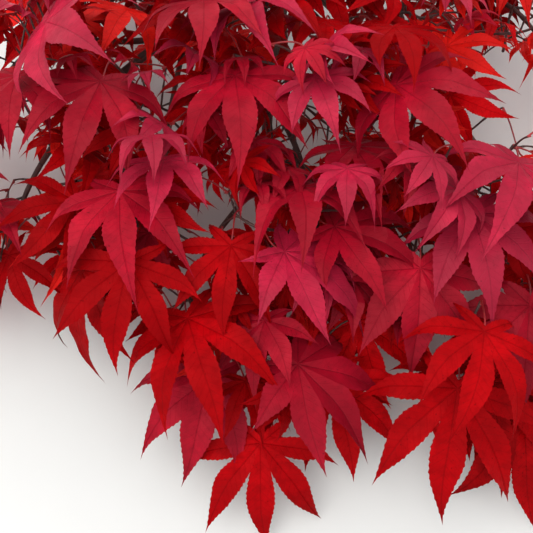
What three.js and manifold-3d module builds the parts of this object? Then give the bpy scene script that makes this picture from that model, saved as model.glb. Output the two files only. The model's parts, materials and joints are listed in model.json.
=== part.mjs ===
// A leafy branch of a red Japanese maple, cut from its tree and laid on its back.
//
// Millimetres. The branch is grown in the frame it hung in: x across, y up the
// tree, z outward to whoever looks at it. A turned group then lays it down on
// the floor, +Z up, with the origin under the middle of its outer box.
//
// One long bough carries two side boughs. Short limbs leave the three of them,
// and each limb or bough ends in one mass of foliage: a stem, its side shoots,
// and leaves in pairs on thin stalks, each hung from a hub with seven lobes.

import * as THREE from "three";
import { mergeVertices } from "three/addons/utils/BufferGeometryUtils.js";
import Module from "manifold-3d";

const wasm = await Module();
wasm.setup();

// Driving dimensions

const LIE_TILT = 20 * (Math.PI / 180); // how far the hung face leans back as it lies
const FLOOR_DROP = 72; // from the middle of the hung face down to the floor
const SIGHT = 520; // distance at which the front leaves were sighted
const GAP = 0.3; // free gap between one solid and the next
const FLOOR_GAP = 1.5; // the least height of foliage over the floor as it grows

// How much fatter than itself a shape is taken to be, to find out what it would touch
const SPARE = 0.4;
const WIDE_SPARE = 0.5;
const LIMB_SPARE = 1;

const CUT_END = [34, 368, -178]; // middle of the cut face
const CUT_RADIUS = 8.5;
const BOUGH_TIP = 2.0; // radius of a side bough where its mass begins
const LIMB_TIP = 1.8; // radius of a limb where its mass begins

const STEM_TIP = 1.3; // radii of the wood inside a mass
const SHOOT_ROOT = 1.0;
const SHOOT_TIP = 0.85;
const STALK_ROOT = 0.4;
const STALK_RADIUS = 0.65;
const STALK_STEPS = 1;

const NODE_STEP = 36; // along a stem, from one pair of shoots to the next
const SHOOT_LENGTH = 52;
const STALK_LENGTH = 30;
const LEAF_LENGTH = 66; // hub to the tip of the middle lobe
const HUB_HALF = 1.1; // half the thickness of a blade at its hub
const BLADE_DROOP = 0.13; // how far the lobe tips bend back, in leaf lengths
const TRIES = 11; // positions tried before a leaf is left out
const SHIFTS = [0, 5, -5, 10, -10, 15, -15, 20, -20, 26, -26, 32]; // in or out, for a front leaf

// Lobes of the blade from left to right: angle off the heading in degrees,
// length, and whether the lobe widens halfway along.
const LOBES = [
  { turn: -128, reach: 0.42, wide: false },
  { turn: -82, reach: 0.74, wide: false },
  { turn: -40, reach: 0.94, wide: true },
  { turn: 0, reach: 1.0, wide: true },
  { turn: 40, reach: 0.94, wide: true },
  { turn: 82, reach: 0.74, wide: false },
  { turn: 128, reach: 0.42, wide: false },
];
const NOTCHES = [0.23, 0.33, 0.36, 0.36, 0.33, 0.23]; // between one lobe and the next
const PLAIN_NOTCH = 0.04; // a plain outline is this much shallower
const LOBE_HALF_WIDTH = 0.15;
const LOBE_WIDEST = 0.52;
const SINUS = 0.07; // where the stalk meets the blade, behind the hub

// The side boughs: where each leaves the long bough, its tip and its root size.
const SIDE_BOUGHS = [
  { name: "left_bough", at: 0.3, tip: [-162, 74, -34], root: 5.4 },
  { name: "right_bough", at: 0.37, tip: [164, 66, -34], root: 5.2 },
];

// The masses of foliage. from and at say which bough carries the limb and how
// far along, tip is where the limb ends and the mass begins, aim and reach are
// the way its stem runs and how far, room is the half size of its own space.
// Each front leaf is its hub (across, up and depth), then heading to the right
// of straight down, lift toward the looker, roll, and length.
const MASSES = [
  {
    name: "tip_foliage", from: "long_bough", aim: [0, -1, 0.25], reach: 78, room: [98, 68, 66],
    front: [[-4, -119, 14, 0, 8, 0, 72], [21, -66, 34, 48, 12, 40, 74], [46, -78, 4, 12, 14, -6, 66]],
  },
  {
    name: "low_left_foliage", from: "long_bough", at: 0.8, tip: [-44, 6, -22],
    aim: [-0.15, -1, 0.2], reach: 72, room: [88, 64, 66],
    front: [[-39, -75, 12, -12, 16, 0, 72], [-53, -35, 30, 20, 38, -6, 78]],
  },
  {
    name: "middle_foliage", from: "long_bough", at: 0.66, tip: [26, 66, -18],
    aim: [0.25, -1, 0.3], reach: 66, room: [104, 92, 76],
    front: [[12, 10, 44, 63, 10, 44, 68], [46, 27, 24, 74, 20, 38, 62], [-24, 14, 30, -8, 20, 0, 58]],
  },
  {
    name: "upper_foliage", from: "long_bough", at: 0.48, tip: [14, 146, -34],
    aim: [0.1, -1, 0.45], reach: 74, room: [110, 108, 86],
    front: [[33, 127, 46, 16, 36, 0, 47], [23, 54, 34, 8, 64, 4, 64], [-21, 128, 30, 8, 30, 0, 70]],
  },
  {
    name: "crest_foliage", from: "long_bough", at: 0.25, tip: [10, 234, -50],
    aim: [-0.2, -0.9, 0.5], reach: 70, room: [112, 104, 88],
    front: [[-42, 178, 30, 8, 44, 0, 62], [-16, 176, 34, 22, 44, 0, 60]],
  },
  {
    name: "far_left_foliage", from: "left_bough", aim: [-0.35, -1, 0.2], reach: 70,
    room: [104, 74, 74],
    front: [[-174, 8, 12, 20, 10, 0, 47], [-129, 44, 26, -38, 30, 0, 56]],
  },
  {
    name: "left_foliage", from: "left_bough", at: 0.68, tip: [-104, 78, -26],
    aim: [0.1, -1, 0.3], reach: 76, room: [100, 84, 76],
    front: [[-99, 51, 40, 9, 42, 0, 70], [-125, -2, 24, -5, 8, -42, 72], [-93, 3, 34, -12, 10, 0, 68]],
  },
  {
    name: "upper_left_foliage", from: "left_bough", at: 0.4, tip: [-66, 130, -36],
    aim: [-0.1, -1, 0.45], reach: 70, room: [108, 106, 86],
    front: [[-69, 72, 44, 2, 62, 0, 52], [-112, 124, 30, -12, 30, 0, 68]],
  },
  {
    name: "outer_left_foliage", from: "left_bough", at: 0.5, tip: [-176, 158, -50],
    aim: [-0.3, -0.9, 0.35], reach: 68, room: [112, 104, 84],
    front: [[-168, 128, 30, 2, 30, 0, 50], [-149, 165, 26, 56, 56, 0, 78]],
  },
  {
    name: "crest_left_foliage", from: "left_bough", at: 0.18, tip: [-96, 232, -72],
    aim: [-0.3, -0.8, 0.5], reach: 72, room: [118, 110, 90], front: [],
  },
  {
    name: "far_right_foliage", from: "right_bough", aim: [0.3, -1, 0.2], reach: 66,
    room: [106, 96, 76],
    front: [[139, 36, 38, 8, 34, 0, 66], [170, 70, 36, -25, 50, 0, 68], [178, -26, 30, -8, 12, 0, 70]],
  },
  {
    name: "right_foliage", from: "right_bough", at: 0.6, tip: [96, 62, -24],
    aim: [0.1, -1, 0.3], reach: 74, room: [104, 96, 80],
    front: [[104, -1, 36, -4, 14, 0, 70], [62, -36, 16, 16, 8, 0, 66]],
  },
  {
    name: "low_right_foliage", from: "right_bough", at: 0.78, tip: [134, -2, -22],
    aim: [0.05, -1, 0.15], reach: 78, room: [94, 76, 66],
    front: [[129, -82, 34, -11, 12, -4, 84], [152, -78, 14, 5, 12, 0, 74], [147, -44, 44, -16, 34, 0, 66]],
  },
  {
    name: "outer_right_foliage", from: "right_bough", at: 0.8, tip: [204, 24, -46],
    aim: [0.05, -1, 0.35], reach: 84, room: [96, 96, 76],
    front: [[174, -102, 26, 0, 10, 0, 76]],
  },
  {
    name: "upper_right_foliage", from: "right_bough", at: 0.34, tip: [84, 142, -36],
    aim: [0.2, -1, 0.45], reach: 72, room: [104, 108, 86],
    front: [[88, 122, 34, 40, 36, 0, 68], [124, 116, 4, 58, 20, 0, 46]],
  },
  {
    name: "side_right_foliage", from: "right_bough", at: 0.42, tip: [164, 204, -62],
    aim: [0.5, -0.55, 0.4], reach: 66, room: [110, 74, 84],
    front: [[122, 148, 8, 48, 20, 0, 44]],
  },
  {
    name: "crest_right_foliage", from: "right_bough", at: 0.18, tip: [90, 240, -74],
    aim: [0.1, -0.8, 0.5], reach: 72, room: [114, 108, 90], front: [],
  },
  {
    name: "back_left_foliage", from: "long_bough", at: 0.17, tip: [-54, 282, -108],
    aim: [-0.7, -0.3, 0.5], reach: 74, room: [116, 108, 84], front: [],
  },
  {
    name: "back_right_foliage", from: "long_bough", at: 0.13, tip: [98, 292, -112],
    aim: [0.7, -0.3, 0.5], reach: 74, room: [116, 108, 84], front: [],
  },
  {
    name: "back_foliage", from: "long_bough", at: 0.22, tip: [24, 286, -68],
    aim: [0.1, -0.6, 0.7], reach: 66, room: [112, 96, 84], front: [],
  },
];

const BARK = { color: "#4a3028", roughness: 0.85 };
const REDS = ["#a10d12", "#8f0a10", "#b3121c", "#c2201a"];

// Small tools

const DOWN = new THREE.Vector3(0, -1, 0);
const OUT = new THREE.Vector3(0, 0, 1);

const vec = (p) => new THREE.Vector3(p[0], p[1], p[2]);
const DEG = 180 / Math.PI;
const rad = (degrees) => degrees / DEG;

// Repeatable random numbers: the same seed always grows the same twig.
function seeded(seed) {
  let state = seed >>> 0;
  const next = () => {
    state = (state + 0x6d2b79f5) >>> 0;
    let t = Math.imul(state ^ (state >>> 15), state | 1);
    t = (t ^ (t + Math.imul(t ^ (t >>> 7), t | 61))) >>> 0;
    return ((t ^ (t >>> 14)) >>> 0) / 4294967296;
  };
  return (low, high) => low + (high - low) * next();
}

// Where a point of the hung face lies, from how it was sighted.
function sighted(across, up, depth) {
  const k = 1 - depth / SIGHT;
  return new THREE.Vector3(across * k, up * k, depth);
}

// Height above the floor once the branch is laid down.
function heightOverFloor(p) {
  return p.y * Math.sin(LIE_TILT) + p.z * Math.cos(LIE_TILT) + FLOOR_DROP;
}

// Curved path that leaves start along one way and arrives at end along another.
function bentPath(start, leave, end, arrive) {
  const span = start.distanceTo(end);
  return new THREE.CubicBezierCurve3(
    start,
    start.clone().addScaledVector(leave, span * 0.38),
    end.clone().addScaledVector(arrive, -span * 0.34),
    end,
  );
}

// Solid shapes: lists of corners and triangles

// Round or many-sided rod along a path, tapering from one radius to the other.
function rod(path, from, to, steps, sides) {
  const points = [];
  const faces = [];
  const forward = path.getTangent(0);
  let side = new THREE.Vector3(1, 0, 0);
  if (Math.abs(forward.x) > 0.8) side = new THREE.Vector3(0, 0, 1);
  side.cross(forward).normalize();
  for (let i = 0; i <= steps; i += 1) {
    const middle = path.getPoint(i / steps);
    const tangent = path.getTangent(i / steps);
    side.addScaledVector(tangent, -side.dot(tangent)).normalize();
    const other = tangent.clone().cross(side);
    const radius = from + (to - from) * (i / steps);
    for (let k = 0; k < sides; k += 1) {
      const angle = (2 * Math.PI * k) / sides;
      points.push(
        middle
          .clone()
          .addScaledVector(side, radius * Math.cos(angle))
          .addScaledVector(other, radius * Math.sin(angle)),
      );
    }
  }
  for (let i = 0; i < steps; i += 1) {
    for (let k = 0; k < sides; k += 1) {
      const a = i * sides + k;
      const b = i * sides + ((k + 1) % sides);
      faces.push([a, b, a + sides], [b, b + sides, a + sides]);
    }
  }
  const last = steps * sides;
  for (let k = 1; k < sides - 1; k += 1) {
    faces.push([0, k + 1, k], [last, last + k, last + k + 1]);
  }
  return { points, faces };
}

// Outline of a blade of length one, from the left of its stalk round to the
// right: u along its heading, v to its right, w out of its face. A full outline
// has shoulders on the three long lobes; a plain one goes without them.
function bladeOutline(full) {
  const ring = [];
  const spread = Math.atan2(LOBE_HALF_WIDTH, LOBE_WIDEST) * DEG;
  const shoulder = Math.hypot(LOBE_HALF_WIDTH, LOBE_WIDEST);
  LOBES.forEach((lobe, i) => {
    if (i > 0) {
      const reach = NOTCHES[i - 1] + (full ? 0 : PLAIN_NOTCH);
      ring.push({ turn: (LOBES[i - 1].turn + lobe.turn) / 2, reach });
    }
    const wide = full && lobe.wide;
    if (wide) ring.push({ turn: lobe.turn - spread, reach: shoulder * lobe.reach });
    ring.push({ turn: lobe.turn, reach: lobe.reach });
    if (wide) ring.push({ turn: lobe.turn + spread, reach: shoulder * lobe.reach });
  });
  return ring.map(({ turn, reach }) => ({
    u: reach * Math.cos(rad(turn)),
    v: reach * Math.sin(rad(turn)),
    w: -BLADE_DROOP * reach * reach,
  }));
}
const FULL_OUTLINE = bladeOutline(true);
const PLAIN_OUTLINE = bladeOutline(false);

// The three ways of a blade: u along it, v to its right, w out of its face.
function bladeFrame(heading, lift, roll) {
  const flat = new THREE.Vector3(Math.sin(heading), -Math.cos(heading), 0);
  const u = flat.clone().multiplyScalar(Math.cos(lift)).addScaledVector(OUT, Math.sin(lift));
  const face = OUT.clone().multiplyScalar(Math.cos(lift)).addScaledVector(flat, -Math.sin(lift));
  const right = face.clone().cross(u);
  const w = face.clone().multiplyScalar(Math.cos(roll)).addScaledVector(right, Math.sin(roll));
  return { u, v: w.clone().cross(u), w };
}

function bladePoint(leaf, { u, v, w }) {
  return leaf.hub
    .clone()
    .addScaledVector(leaf.frame.u, u * leaf.length)
    .addScaledVector(leaf.frame.v, v * leaf.length)
    .addScaledVector(leaf.frame.w, w * leaf.length);
}

// Blade as a thin double pyramid over its outline. Spare makes it fatter all
// round, for finding out whether it would touch something.
function blade(leaf, spare) {
  const points = [
    leaf.hub.clone().addScaledVector(leaf.frame.w, HUB_HALF + spare),
    leaf.hub.clone().addScaledVector(leaf.frame.w, -HUB_HALF - spare),
    bladePoint(leaf, { u: -SINUS, v: 0, w: 0 }),
  ];
  leaf.outline.forEach((corner) => {
    const p = bladePoint(leaf, corner);
    points.push(p.addScaledVector(p.clone().sub(leaf.hub).normalize(), 2 * spare));
  });
  const faces = [];
  for (let a = 2; a < points.length; a += 1) {
    const b = a + 1 < points.length ? a + 1 : 2;
    faces.push([0, a, b], [1, b, a]);
  }
  return { points, faces };
}

// Blade and stalk as one closed shape. The three corners of the stalk's last
// section take the place of the corner of the blade behind its hub.
const SECTION = [
  [-0.87, 0.5],
  [0.87, 0.5],
  [0, -1],
];
function leafSolid(leaf, path) {
  const points = [];
  const faces = [];
  const across = leaf.frame.v.clone();
  for (let i = STALK_STEPS; i >= 0; i -= 1) {
    const middle = path.getPoint(i / STALK_STEPS);
    const way = path.getTangent(i / STALK_STEPS);
    const radius = i === 0 ? STALK_ROOT : STALK_RADIUS;
    across.addScaledVector(way, -across.dot(way)).normalize();
    const over = way.clone().cross(across);
    SECTION.forEach(([side, top]) => {
      const corner = middle.clone().addScaledVector(across, side * radius);
      points.push(corner.addScaledVector(over, top * radius));
    });
  }
  for (let i = 0; i < STALK_STEPS; i += 1) {
    for (let k = 0; k < 3; k += 1) {
      const a = 3 * i + k;
      const b = 3 * i + ((k + 1) % 3);
      faces.push([a, b, a + 3], [b, b + 3, a + 3]);
    }
  }
  const last = 3 * STALK_STEPS;
  faces.push([last, last + 1, last + 2]);
  const top = points.length;
  points.push(leaf.hub.clone().addScaledVector(leaf.frame.w, HUB_HALF));
  points.push(leaf.hub.clone().addScaledVector(leaf.frame.w, -HUB_HALF));
  const rim = [0];
  leaf.outline.forEach((corner) => {
    rim.push(points.length);
    points.push(bladePoint(leaf, corner));
  });
  rim.push(1);
  for (let i = 0; i < rim.length - 1; i += 1) {
    faces.push([top, rim[i], rim[i + 1]], [top + 1, rim[i + 1], rim[i]]);
  }
  faces.push([top, 1, 0], [top + 1, 2, 1], [top + 1, 0, 2]);
  return { points, faces };
}

// Do two solids touch? An edge of one has to pass through a face of the other.
function edgesOf(shape) {
  const seen = new Map();
  shape.faces.forEach((face) => {
    for (let k = 0; k < 3; k += 1) {
      const a = face[k];
      const b = face[(k + 1) % 3];
      if (a < b) seen.set(a * 4096 + b, [a, b]);
    }
  });
  return [...seen.values()];
}

function edgeMeetsFace(p, q, a, b, c) {
  const dx = q.x - p.x;
  const dy = q.y - p.y;
  const dz = q.z - p.z;
  const e1x = b.x - a.x;
  const e1y = b.y - a.y;
  const e1z = b.z - a.z;
  const e2x = c.x - a.x;
  const e2y = c.y - a.y;
  const e2z = c.z - a.z;
  const hx = dy * e2z - dz * e2y;
  const hy = dz * e2x - dx * e2z;
  const hz = dx * e2y - dy * e2x;
  const det = e1x * hx + e1y * hy + e1z * hz;
  if (Math.abs(det) < 1e-9) return false;
  const sx = p.x - a.x;
  const sy = p.y - a.y;
  const sz = p.z - a.z;
  const s = (sx * hx + sy * hy + sz * hz) / det;
  if (s < 0 || s > 1) return false;
  const qx = sy * e1z - sz * e1y;
  const qy = sz * e1x - sx * e1z;
  const qz = sx * e1y - sy * e1x;
  const t = (dx * qx + dy * qy + dz * qz) / det;
  if (t < 0 || s + t > 1) return false;
  const along = (e2x * qx + e2y * qy + e2z * qz) / det;
  return along >= 0 && along <= 1;
}

function piercedBy(shape, edges, other) {
  return edges.some(([i, k]) => {
    const p = other.points[i];
    const q = other.points[k];
    if (Math.max(p.x, q.x) < shape.box.min.x || Math.min(p.x, q.x) > shape.box.max.x) return false;
    if (Math.max(p.y, q.y) < shape.box.min.y || Math.min(p.y, q.y) > shape.box.max.y) return false;
    if (Math.max(p.z, q.z) < shape.box.min.z || Math.min(p.z, q.z) > shape.box.max.z) return false;
    return shape.faces.some(([a, b, c]) =>
      edgeMeetsFace(p, q, shape.points[a], shape.points[b], shape.points[c]),
    );
  });
}

function touch(a, b) {
  if (!a.box.intersectsBox(b.box)) return false;
  return piercedBy(a, b.edges, b) || piercedBy(b, a.edges, a);
}

function tested(shape) {
  return { ...shape, box: new THREE.Box3().setFromPoints(shape.points), edges: edgesOf(shape) };
}

// Everything that has grown so far: { owner, kind, shape }.
const grown = [];

function clear(shape, owner, except) {
  return !grown.some(
    (other) => !except.includes(other.kind + other.owner) && touch(shape, other.shape),
  );
}

function keep(owner, kind, shape) {
  grown.push({ owner, kind, shape });
}

// Boughs and limbs

const boughs = new Map();
const solids = [];

function addBough(name, path, from, to, steps, sides, parent) {
  const bough = { name, path, from, to, steps, sides, parent };
  boughs.set(name, bough);
  keep(name, "wood", tested(rod(path, from + LIMB_SPARE, to + LIMB_SPARE, steps, sides)));
  return bough;
}

const cutEnd = vec(CUT_END);
const longTip = new THREE.Vector3(-2, -24, -26);
addBough(
  "long_bough",
  new THREE.CubicBezierCurve3(
    cutEnd,
    new THREE.Vector3(32, 284, -66),
    new THREE.Vector3(-10, 150, -58),
    longTip,
  ),
  CUT_RADIUS,
  BOUGH_TIP,
  14,
  10,
  null,
);

function offshoot(name, parentName, at, tip, root, end, steps, sides) {
  const parent = boughs.get(parentName);
  const start = parent.path.getPoint(at);
  const leave = parent.path
    .getTangent(at)
    .multiplyScalar(0.75)
    .add(tip.clone().sub(start).normalize())
    .normalize();
  const arrive = tip.clone().sub(start).normalize().addScaledVector(DOWN, 0.5).normalize();
  return addBough(name, bentPath(start, leave, tip, arrive), root, end, steps, sides, parent);
}

SIDE_BOUGHS.forEach(({ name, at, tip, root }) =>
  offshoot(name, "long_bough", at, vec(tip), root, BOUGH_TIP, 10, 8),
);

MASSES.filter(({ at }) => at !== undefined).forEach(({ name, from, at, tip }) => {
  const limb = name.replace("_foliage", "_limb");
  const parent = boughs.get(from);
  const thick = parent.from + (parent.to - parent.from) * at;
  offshoot(limb, from, at, vec(tip), Math.min(3, thick * 0.68), LIMB_TIP, 5, 5);
});

// Foliage

function inRoom(mass, p) {
  const dx = (p.x - mass.middle.x) / mass.room[0];
  const dy = (p.y - mass.middle.y) / mass.room[1];
  const dz = (p.z - mass.middle.z) / mass.room[2];
  return dx * dx + dy * dy + dz * dz <= 1;
}

function fitsFloor(shape) {
  return shape.points.every((p) => heightOverFloor(p) > FLOOR_GAP);
}

function fits(mass, shape) {
  return fitsFloor(shape) && shape.points.every((p) => inRoom(mass, p));
}

// Add a twig to a mass, with the solid that it becomes.
function addTwig(mass, path, from, to, steps) {
  const twig = { path, from, to };
  mass.twigs.push(twig);
  mass.pieces.push(rod(path, from, to, steps, 3));
  keep(mass.name, "twig", tested(rod(path, from + WIDE_SPARE, to + WIDE_SPARE, steps, 3)));
  return twig;
}

// The stalk rises from the twig and comes down to the back of the blade.
function stalkPath(root, leaf) {
  const end = bladePoint(leaf, { u: -SINUS, v: 0, w: 0 });
  const leave = end.clone().sub(root).normalize().addScaledVector(DOWN, -0.35).normalize();
  return bentPath(root, leave, end, leaf.frame.u);
}

function stalkRod(path) {
  return rod(path, STALK_RADIUS + SPARE, STALK_RADIUS + SPARE, STALK_STEPS, 3);
}

function addLeaf(mass, root, leaf) {
  const stalk = stalkPath(root, leaf);
  mass.pieces.push(leafSolid(leaf, stalk));
  keep(mass.name, "blade", tested(blade(leaf, SPARE)));
  keep(mass.name, "stalk", tested(stalkRod(stalk)));
  mass.leaves.push(leaf);
}

// A leaf may touch nothing but the wood and the stalks beside its own stalk.
function leafFits(mass, root, leaf) {
  const shape = tested(blade(leaf, WIDE_SPARE));
  if (!clear(shape, mass.name, [])) return false;
  const stalk = tested(stalkRod(stalkPath(root, leaf)));
  return clear(stalk, mass.name, [`twig${mass.name}`, `stalk${mass.name}`]);
}

// Hang one leaf from root along the given way, with a few tries.
function hangLeaf(mass, root, way, random) {
  for (let i = 0; i < TRIES; i += 1) {
    const length = LEAF_LENGTH * random(0.72, 1.08) * (1 - 0.05 * i);
    const stalk = STALK_LENGTH * random(0.75, 1.2);
    const turned = way
      .clone()
      .add(new THREE.Vector3(random(-0.4, 0.4), random(-0.4, 0.4), random(-0.3, 0.5)))
      .normalize();
    const hub = root.clone().addScaledVector(turned, stalk).addScaledVector(DOWN, 4);
    const heading = rad(Math.max(-70, Math.min(70, 62 * turned.x + random(-24, 24))));
    const lift = rad(26 + 26 * turned.z + random(-18, 22));
    const frame = bladeFrame(heading, lift, rad(random(-24, 24)));
    const leaf = { hub, length, frame, outline: PLAIN_OUTLINE };
    if (fits(mass, blade(leaf, 0)) && leafFits(mass, root, leaf)) {
      addLeaf(mass, root, leaf);
      return true;
    }
  }
  return false;
}

// A pair of leaves at a node of a shoot, one to each side.
function hangPair(mass, twig, at, across, random) {
  const root = twig.path.getPoint(at);
  const tangent = twig.path.getTangent(at);
  [1, -1].forEach((side) => {
    const way = tangent.clone().multiplyScalar(0.6).addScaledVector(across, 0.8 * side);
    hangLeaf(mass, root, way.normalize(), random);
  });
}

function startMass(spec, index) {
  const limb = boughs.get(spec.at === undefined ? spec.from : spec.name.replace("_foliage", "_limb"));
  const tangent = limb.path.getTangent(1);
  const start = limb.path.getPoint(1).addScaledVector(tangent, GAP);
  const aim = vec(spec.aim).normalize();
  const end = start.clone().addScaledVector(aim, spec.reach).addScaledVector(DOWN, 8);
  const middle = start.clone().lerp(end, 0.5).add(new THREE.Vector3(0, -16, 16));
  const random = seeded(71 + 13 * index);
  const mass = { ...spec, index, middle, random, pieces: [], twigs: [], spurs: [], leaves: [] };
  const path = bentPath(start, tangent, end, aim.clone().addScaledVector(DOWN, 0.4).normalize());
  mass.stem = addTwig(mass, path, limb.to, STEM_TIP, 4);
  return mass;
}

// The nearest place of the mass's wood to a point.
function nearestWood(mass, point) {
  let best = null;
  mass.twigs.forEach((twig) => {
    for (let i = 2; i <= 12; i += 1) {
      const place = twig.path.getPoint(i / 12);
      const distance = place.distanceTo(point);
      if (!best || distance < best.distance) best = { twig, at: i / 12, place, distance };
    }
  });
  return best;
}

// A front leaf hangs where it was sighted, on a spur of its own. It is shifted
// in or out along the line of sight until it is clear of the others.
function hangFrontLeaf(mass, [across, up, depth, heading, lift, roll, length]) {
  const frame = bladeFrame(rad(heading), rad(lift), rad(roll));
  const back = frame.u.clone().multiplyScalar(-0.8).add(new THREE.Vector3(0, 0.35, -0.55)).normalize();
  return SHIFTS.some((shift) => {
    const hub = sighted(across, up, depth + shift);
    const leaf = { hub, length, frame, outline: FULL_OUTLINE };
    const root = hub.clone().addScaledVector(back, STALK_LENGTH * 0.85);
    const wood = nearestWood(mass, root);
    const straight = root.clone().sub(wood.place).normalize();
    const leave = wood.twig.path.getTangent(wood.at).multiplyScalar(0.4).add(straight).normalize();
    const path = bentPath(wood.place, leave, root, straight);
    const shape = tested(rod(path, SHOOT_ROOT + SPARE, SHOOT_TIP + SPARE, 2, 3));
    if (!fitsFloor(blade(leaf, 0)) || !leafFits(mass, root, leaf)) return false;
    if (!clear(shape, mass.name, [`twig${mass.name}`, `stalk${mass.name}`])) return false;
    mass.spurs.push(addTwig(mass, path, SHOOT_ROOT, SHOOT_TIP, 2));
    addLeaf(mass, root, leaf);
    return true;
  });
}

function hangFrontLeaves(mass) {
  mass.front.forEach((row) => hangFrontLeaf(mass, row));
}

// Shoots leave the stem in pairs, each pair a quarter turn from the last, and
// carry pairs of leaves halfway and at their tips.
function growShoots(mass) {
  const count = Math.max(2, Math.round(mass.reach / NODE_STEP));
  for (let k = 1; k <= count; k += 1) {
    const at = (k - 0.35) / count;
    const root = mass.stem.path.getPoint(at);
    const tangent = mass.stem.path.getTangent(at);
    const across = new THREE.Vector3(1, 0, 0);
    if (k % 2 === 0) across.set(0.35, 0.2, 1);
    across.addScaledVector(tangent, -across.dot(tangent)).normalize();
    [1, -1].forEach((side) => {
      const random = seeded(1000 * (mass.index + 1) + 10 * k + side);
      const way = tangent.clone().multiplyScalar(0.55).addScaledVector(across, 0.8 * side).normalize();
      const length = SHOOT_LENGTH * random(0.7, 1.15);
      const end = root.clone().addScaledVector(way, length).addScaledVector(DOWN, random(2, 10));
      const path = bentPath(root, way, end, way);
      const shape = tested(rod(path, SHOOT_ROOT + WIDE_SPARE, SHOOT_TIP + WIDE_SPARE, 2, 3));
      if (!fits(mass, shape)) return;
      if (!clear(shape, mass.name, [`twig${mass.name}`, `stalk${mass.name}`])) return;
      const shoot = addTwig(mass, path, SHOOT_ROOT, SHOOT_TIP, 2);
      const level = way.clone().cross(k % 2 === 0 ? OUT : DOWN).normalize();
      hangPair(mass, shoot, 0.97, level, random);
      hangPair(mass, shoot, 0.5, level.clone().cross(way).normalize(), random);
    });
  }
  const tip = mass.stem.path.getTangent(1);
  hangPair(mass, mass.stem, 0.985, tip.clone().cross(OUT).normalize(), mass.random);
}

const masses = MASSES.map(startMass);
masses.forEach(hangFrontLeaves);
masses.forEach((mass) => {
  mass.spurs.forEach((spur) => {
    const tangent = spur.path.getTangent(1);
    const across = tangent.clone().cross(OUT).normalize();
    const side = mass.random(0, 1) < 0.5 ? 1 : -1;
    const way = tangent.clone().multiplyScalar(0.4).addScaledVector(across, 0.8 * side).normalize();
    hangLeaf(mass, spur.path.getPoint(0.96), way, mass.random);
  });
});
masses.forEach(growShoots);

// Joining the pieces of each solid

function toManifold({ points, faces }) {
  const vertProperties = new Float32Array(points.flatMap((p) => [p.x, p.y, p.z]));
  const triVerts = new Uint32Array(faces.flat());
  return new wasm.Manifold(new wasm.Mesh({ numProp: 3, vertProperties, triVerts }));
}

function toGeometry(solid) {
  const mesh = solid.getMesh();
  const raw = new THREE.BufferGeometry();
  raw.setAttribute("position", new THREE.BufferAttribute(new Float32Array(mesh.vertProperties), 3));
  raw.setIndex(new THREE.BufferAttribute(new Uint32Array(mesh.triVerts), 1));
  const geometry = mergeVertices(raw, 1e-3);
  geometry.computeVertexNormals();
  return geometry;
}

function addSolid(name, solid, look) {
  const material = new THREE.MeshStandardMaterial({ metalness: 0, ...look });
  const mesh = new THREE.Mesh(toGeometry(solid), material);
  mesh.name = name;
  solids.push(mesh);
}

// A limb is trimmed where it springs from its bough, a hair clear of the bark.
boughs.forEach(({ name, path, from, to, steps, sides, parent }) => {
  let solid = toManifold(rod(path, from, to, steps, sides));
  if (parent) {
    const bark = rod(parent.path, parent.from + GAP, parent.to + GAP, parent.steps, parent.sides);
    solid = solid.subtract(toManifold(bark));
  }
  addSolid(name, solid, BARK);
});

masses.forEach((mass, i) => {
  const solid = mass.pieces.map(toManifold).reduce((sum, piece) => sum.add(piece));
  addSolid(mass.name, solid, { color: REDS[i % REDS.length], roughness: 0.55, side: THREE.DoubleSide });
});

// Laying the branch down

const lying = new THREE.Group();
lying.rotation.x = LIE_TILT;
solids.forEach((mesh) => lying.add(mesh));

const branch = new THREE.Group();
branch.name = "japanese_maple_branch";
branch.add(lying);
branch.updateMatrixWorld(true);
const box = new THREE.Box3().setFromObject(lying, true);
lying.position.set(-(box.min.x + box.max.x) / 2, -(box.min.y + box.max.y) / 2, -box.min.z);
branch.updateMatrixWorld(true);

export default branch;
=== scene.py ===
"""Looks of a cut leafy branch of a red Japanese maple, laid on its back on a pale floor.

The branch is grown in the frame it hung in, in millimetres: x across, y up the
tree, z outward to whoever looks at it. It is then laid down in the frame of the
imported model, in metres.
"""

import json
import math
from collections import namedtuple
from functools import lru_cache

import bmesh
import bpy
import numpy as np
from bpy.props import FloatProperty, FloatVectorProperty, IntProperty, PointerProperty
from mathutils import Matrix, Vector, noise
from mathutils.bvhtree import BVHTree

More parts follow.
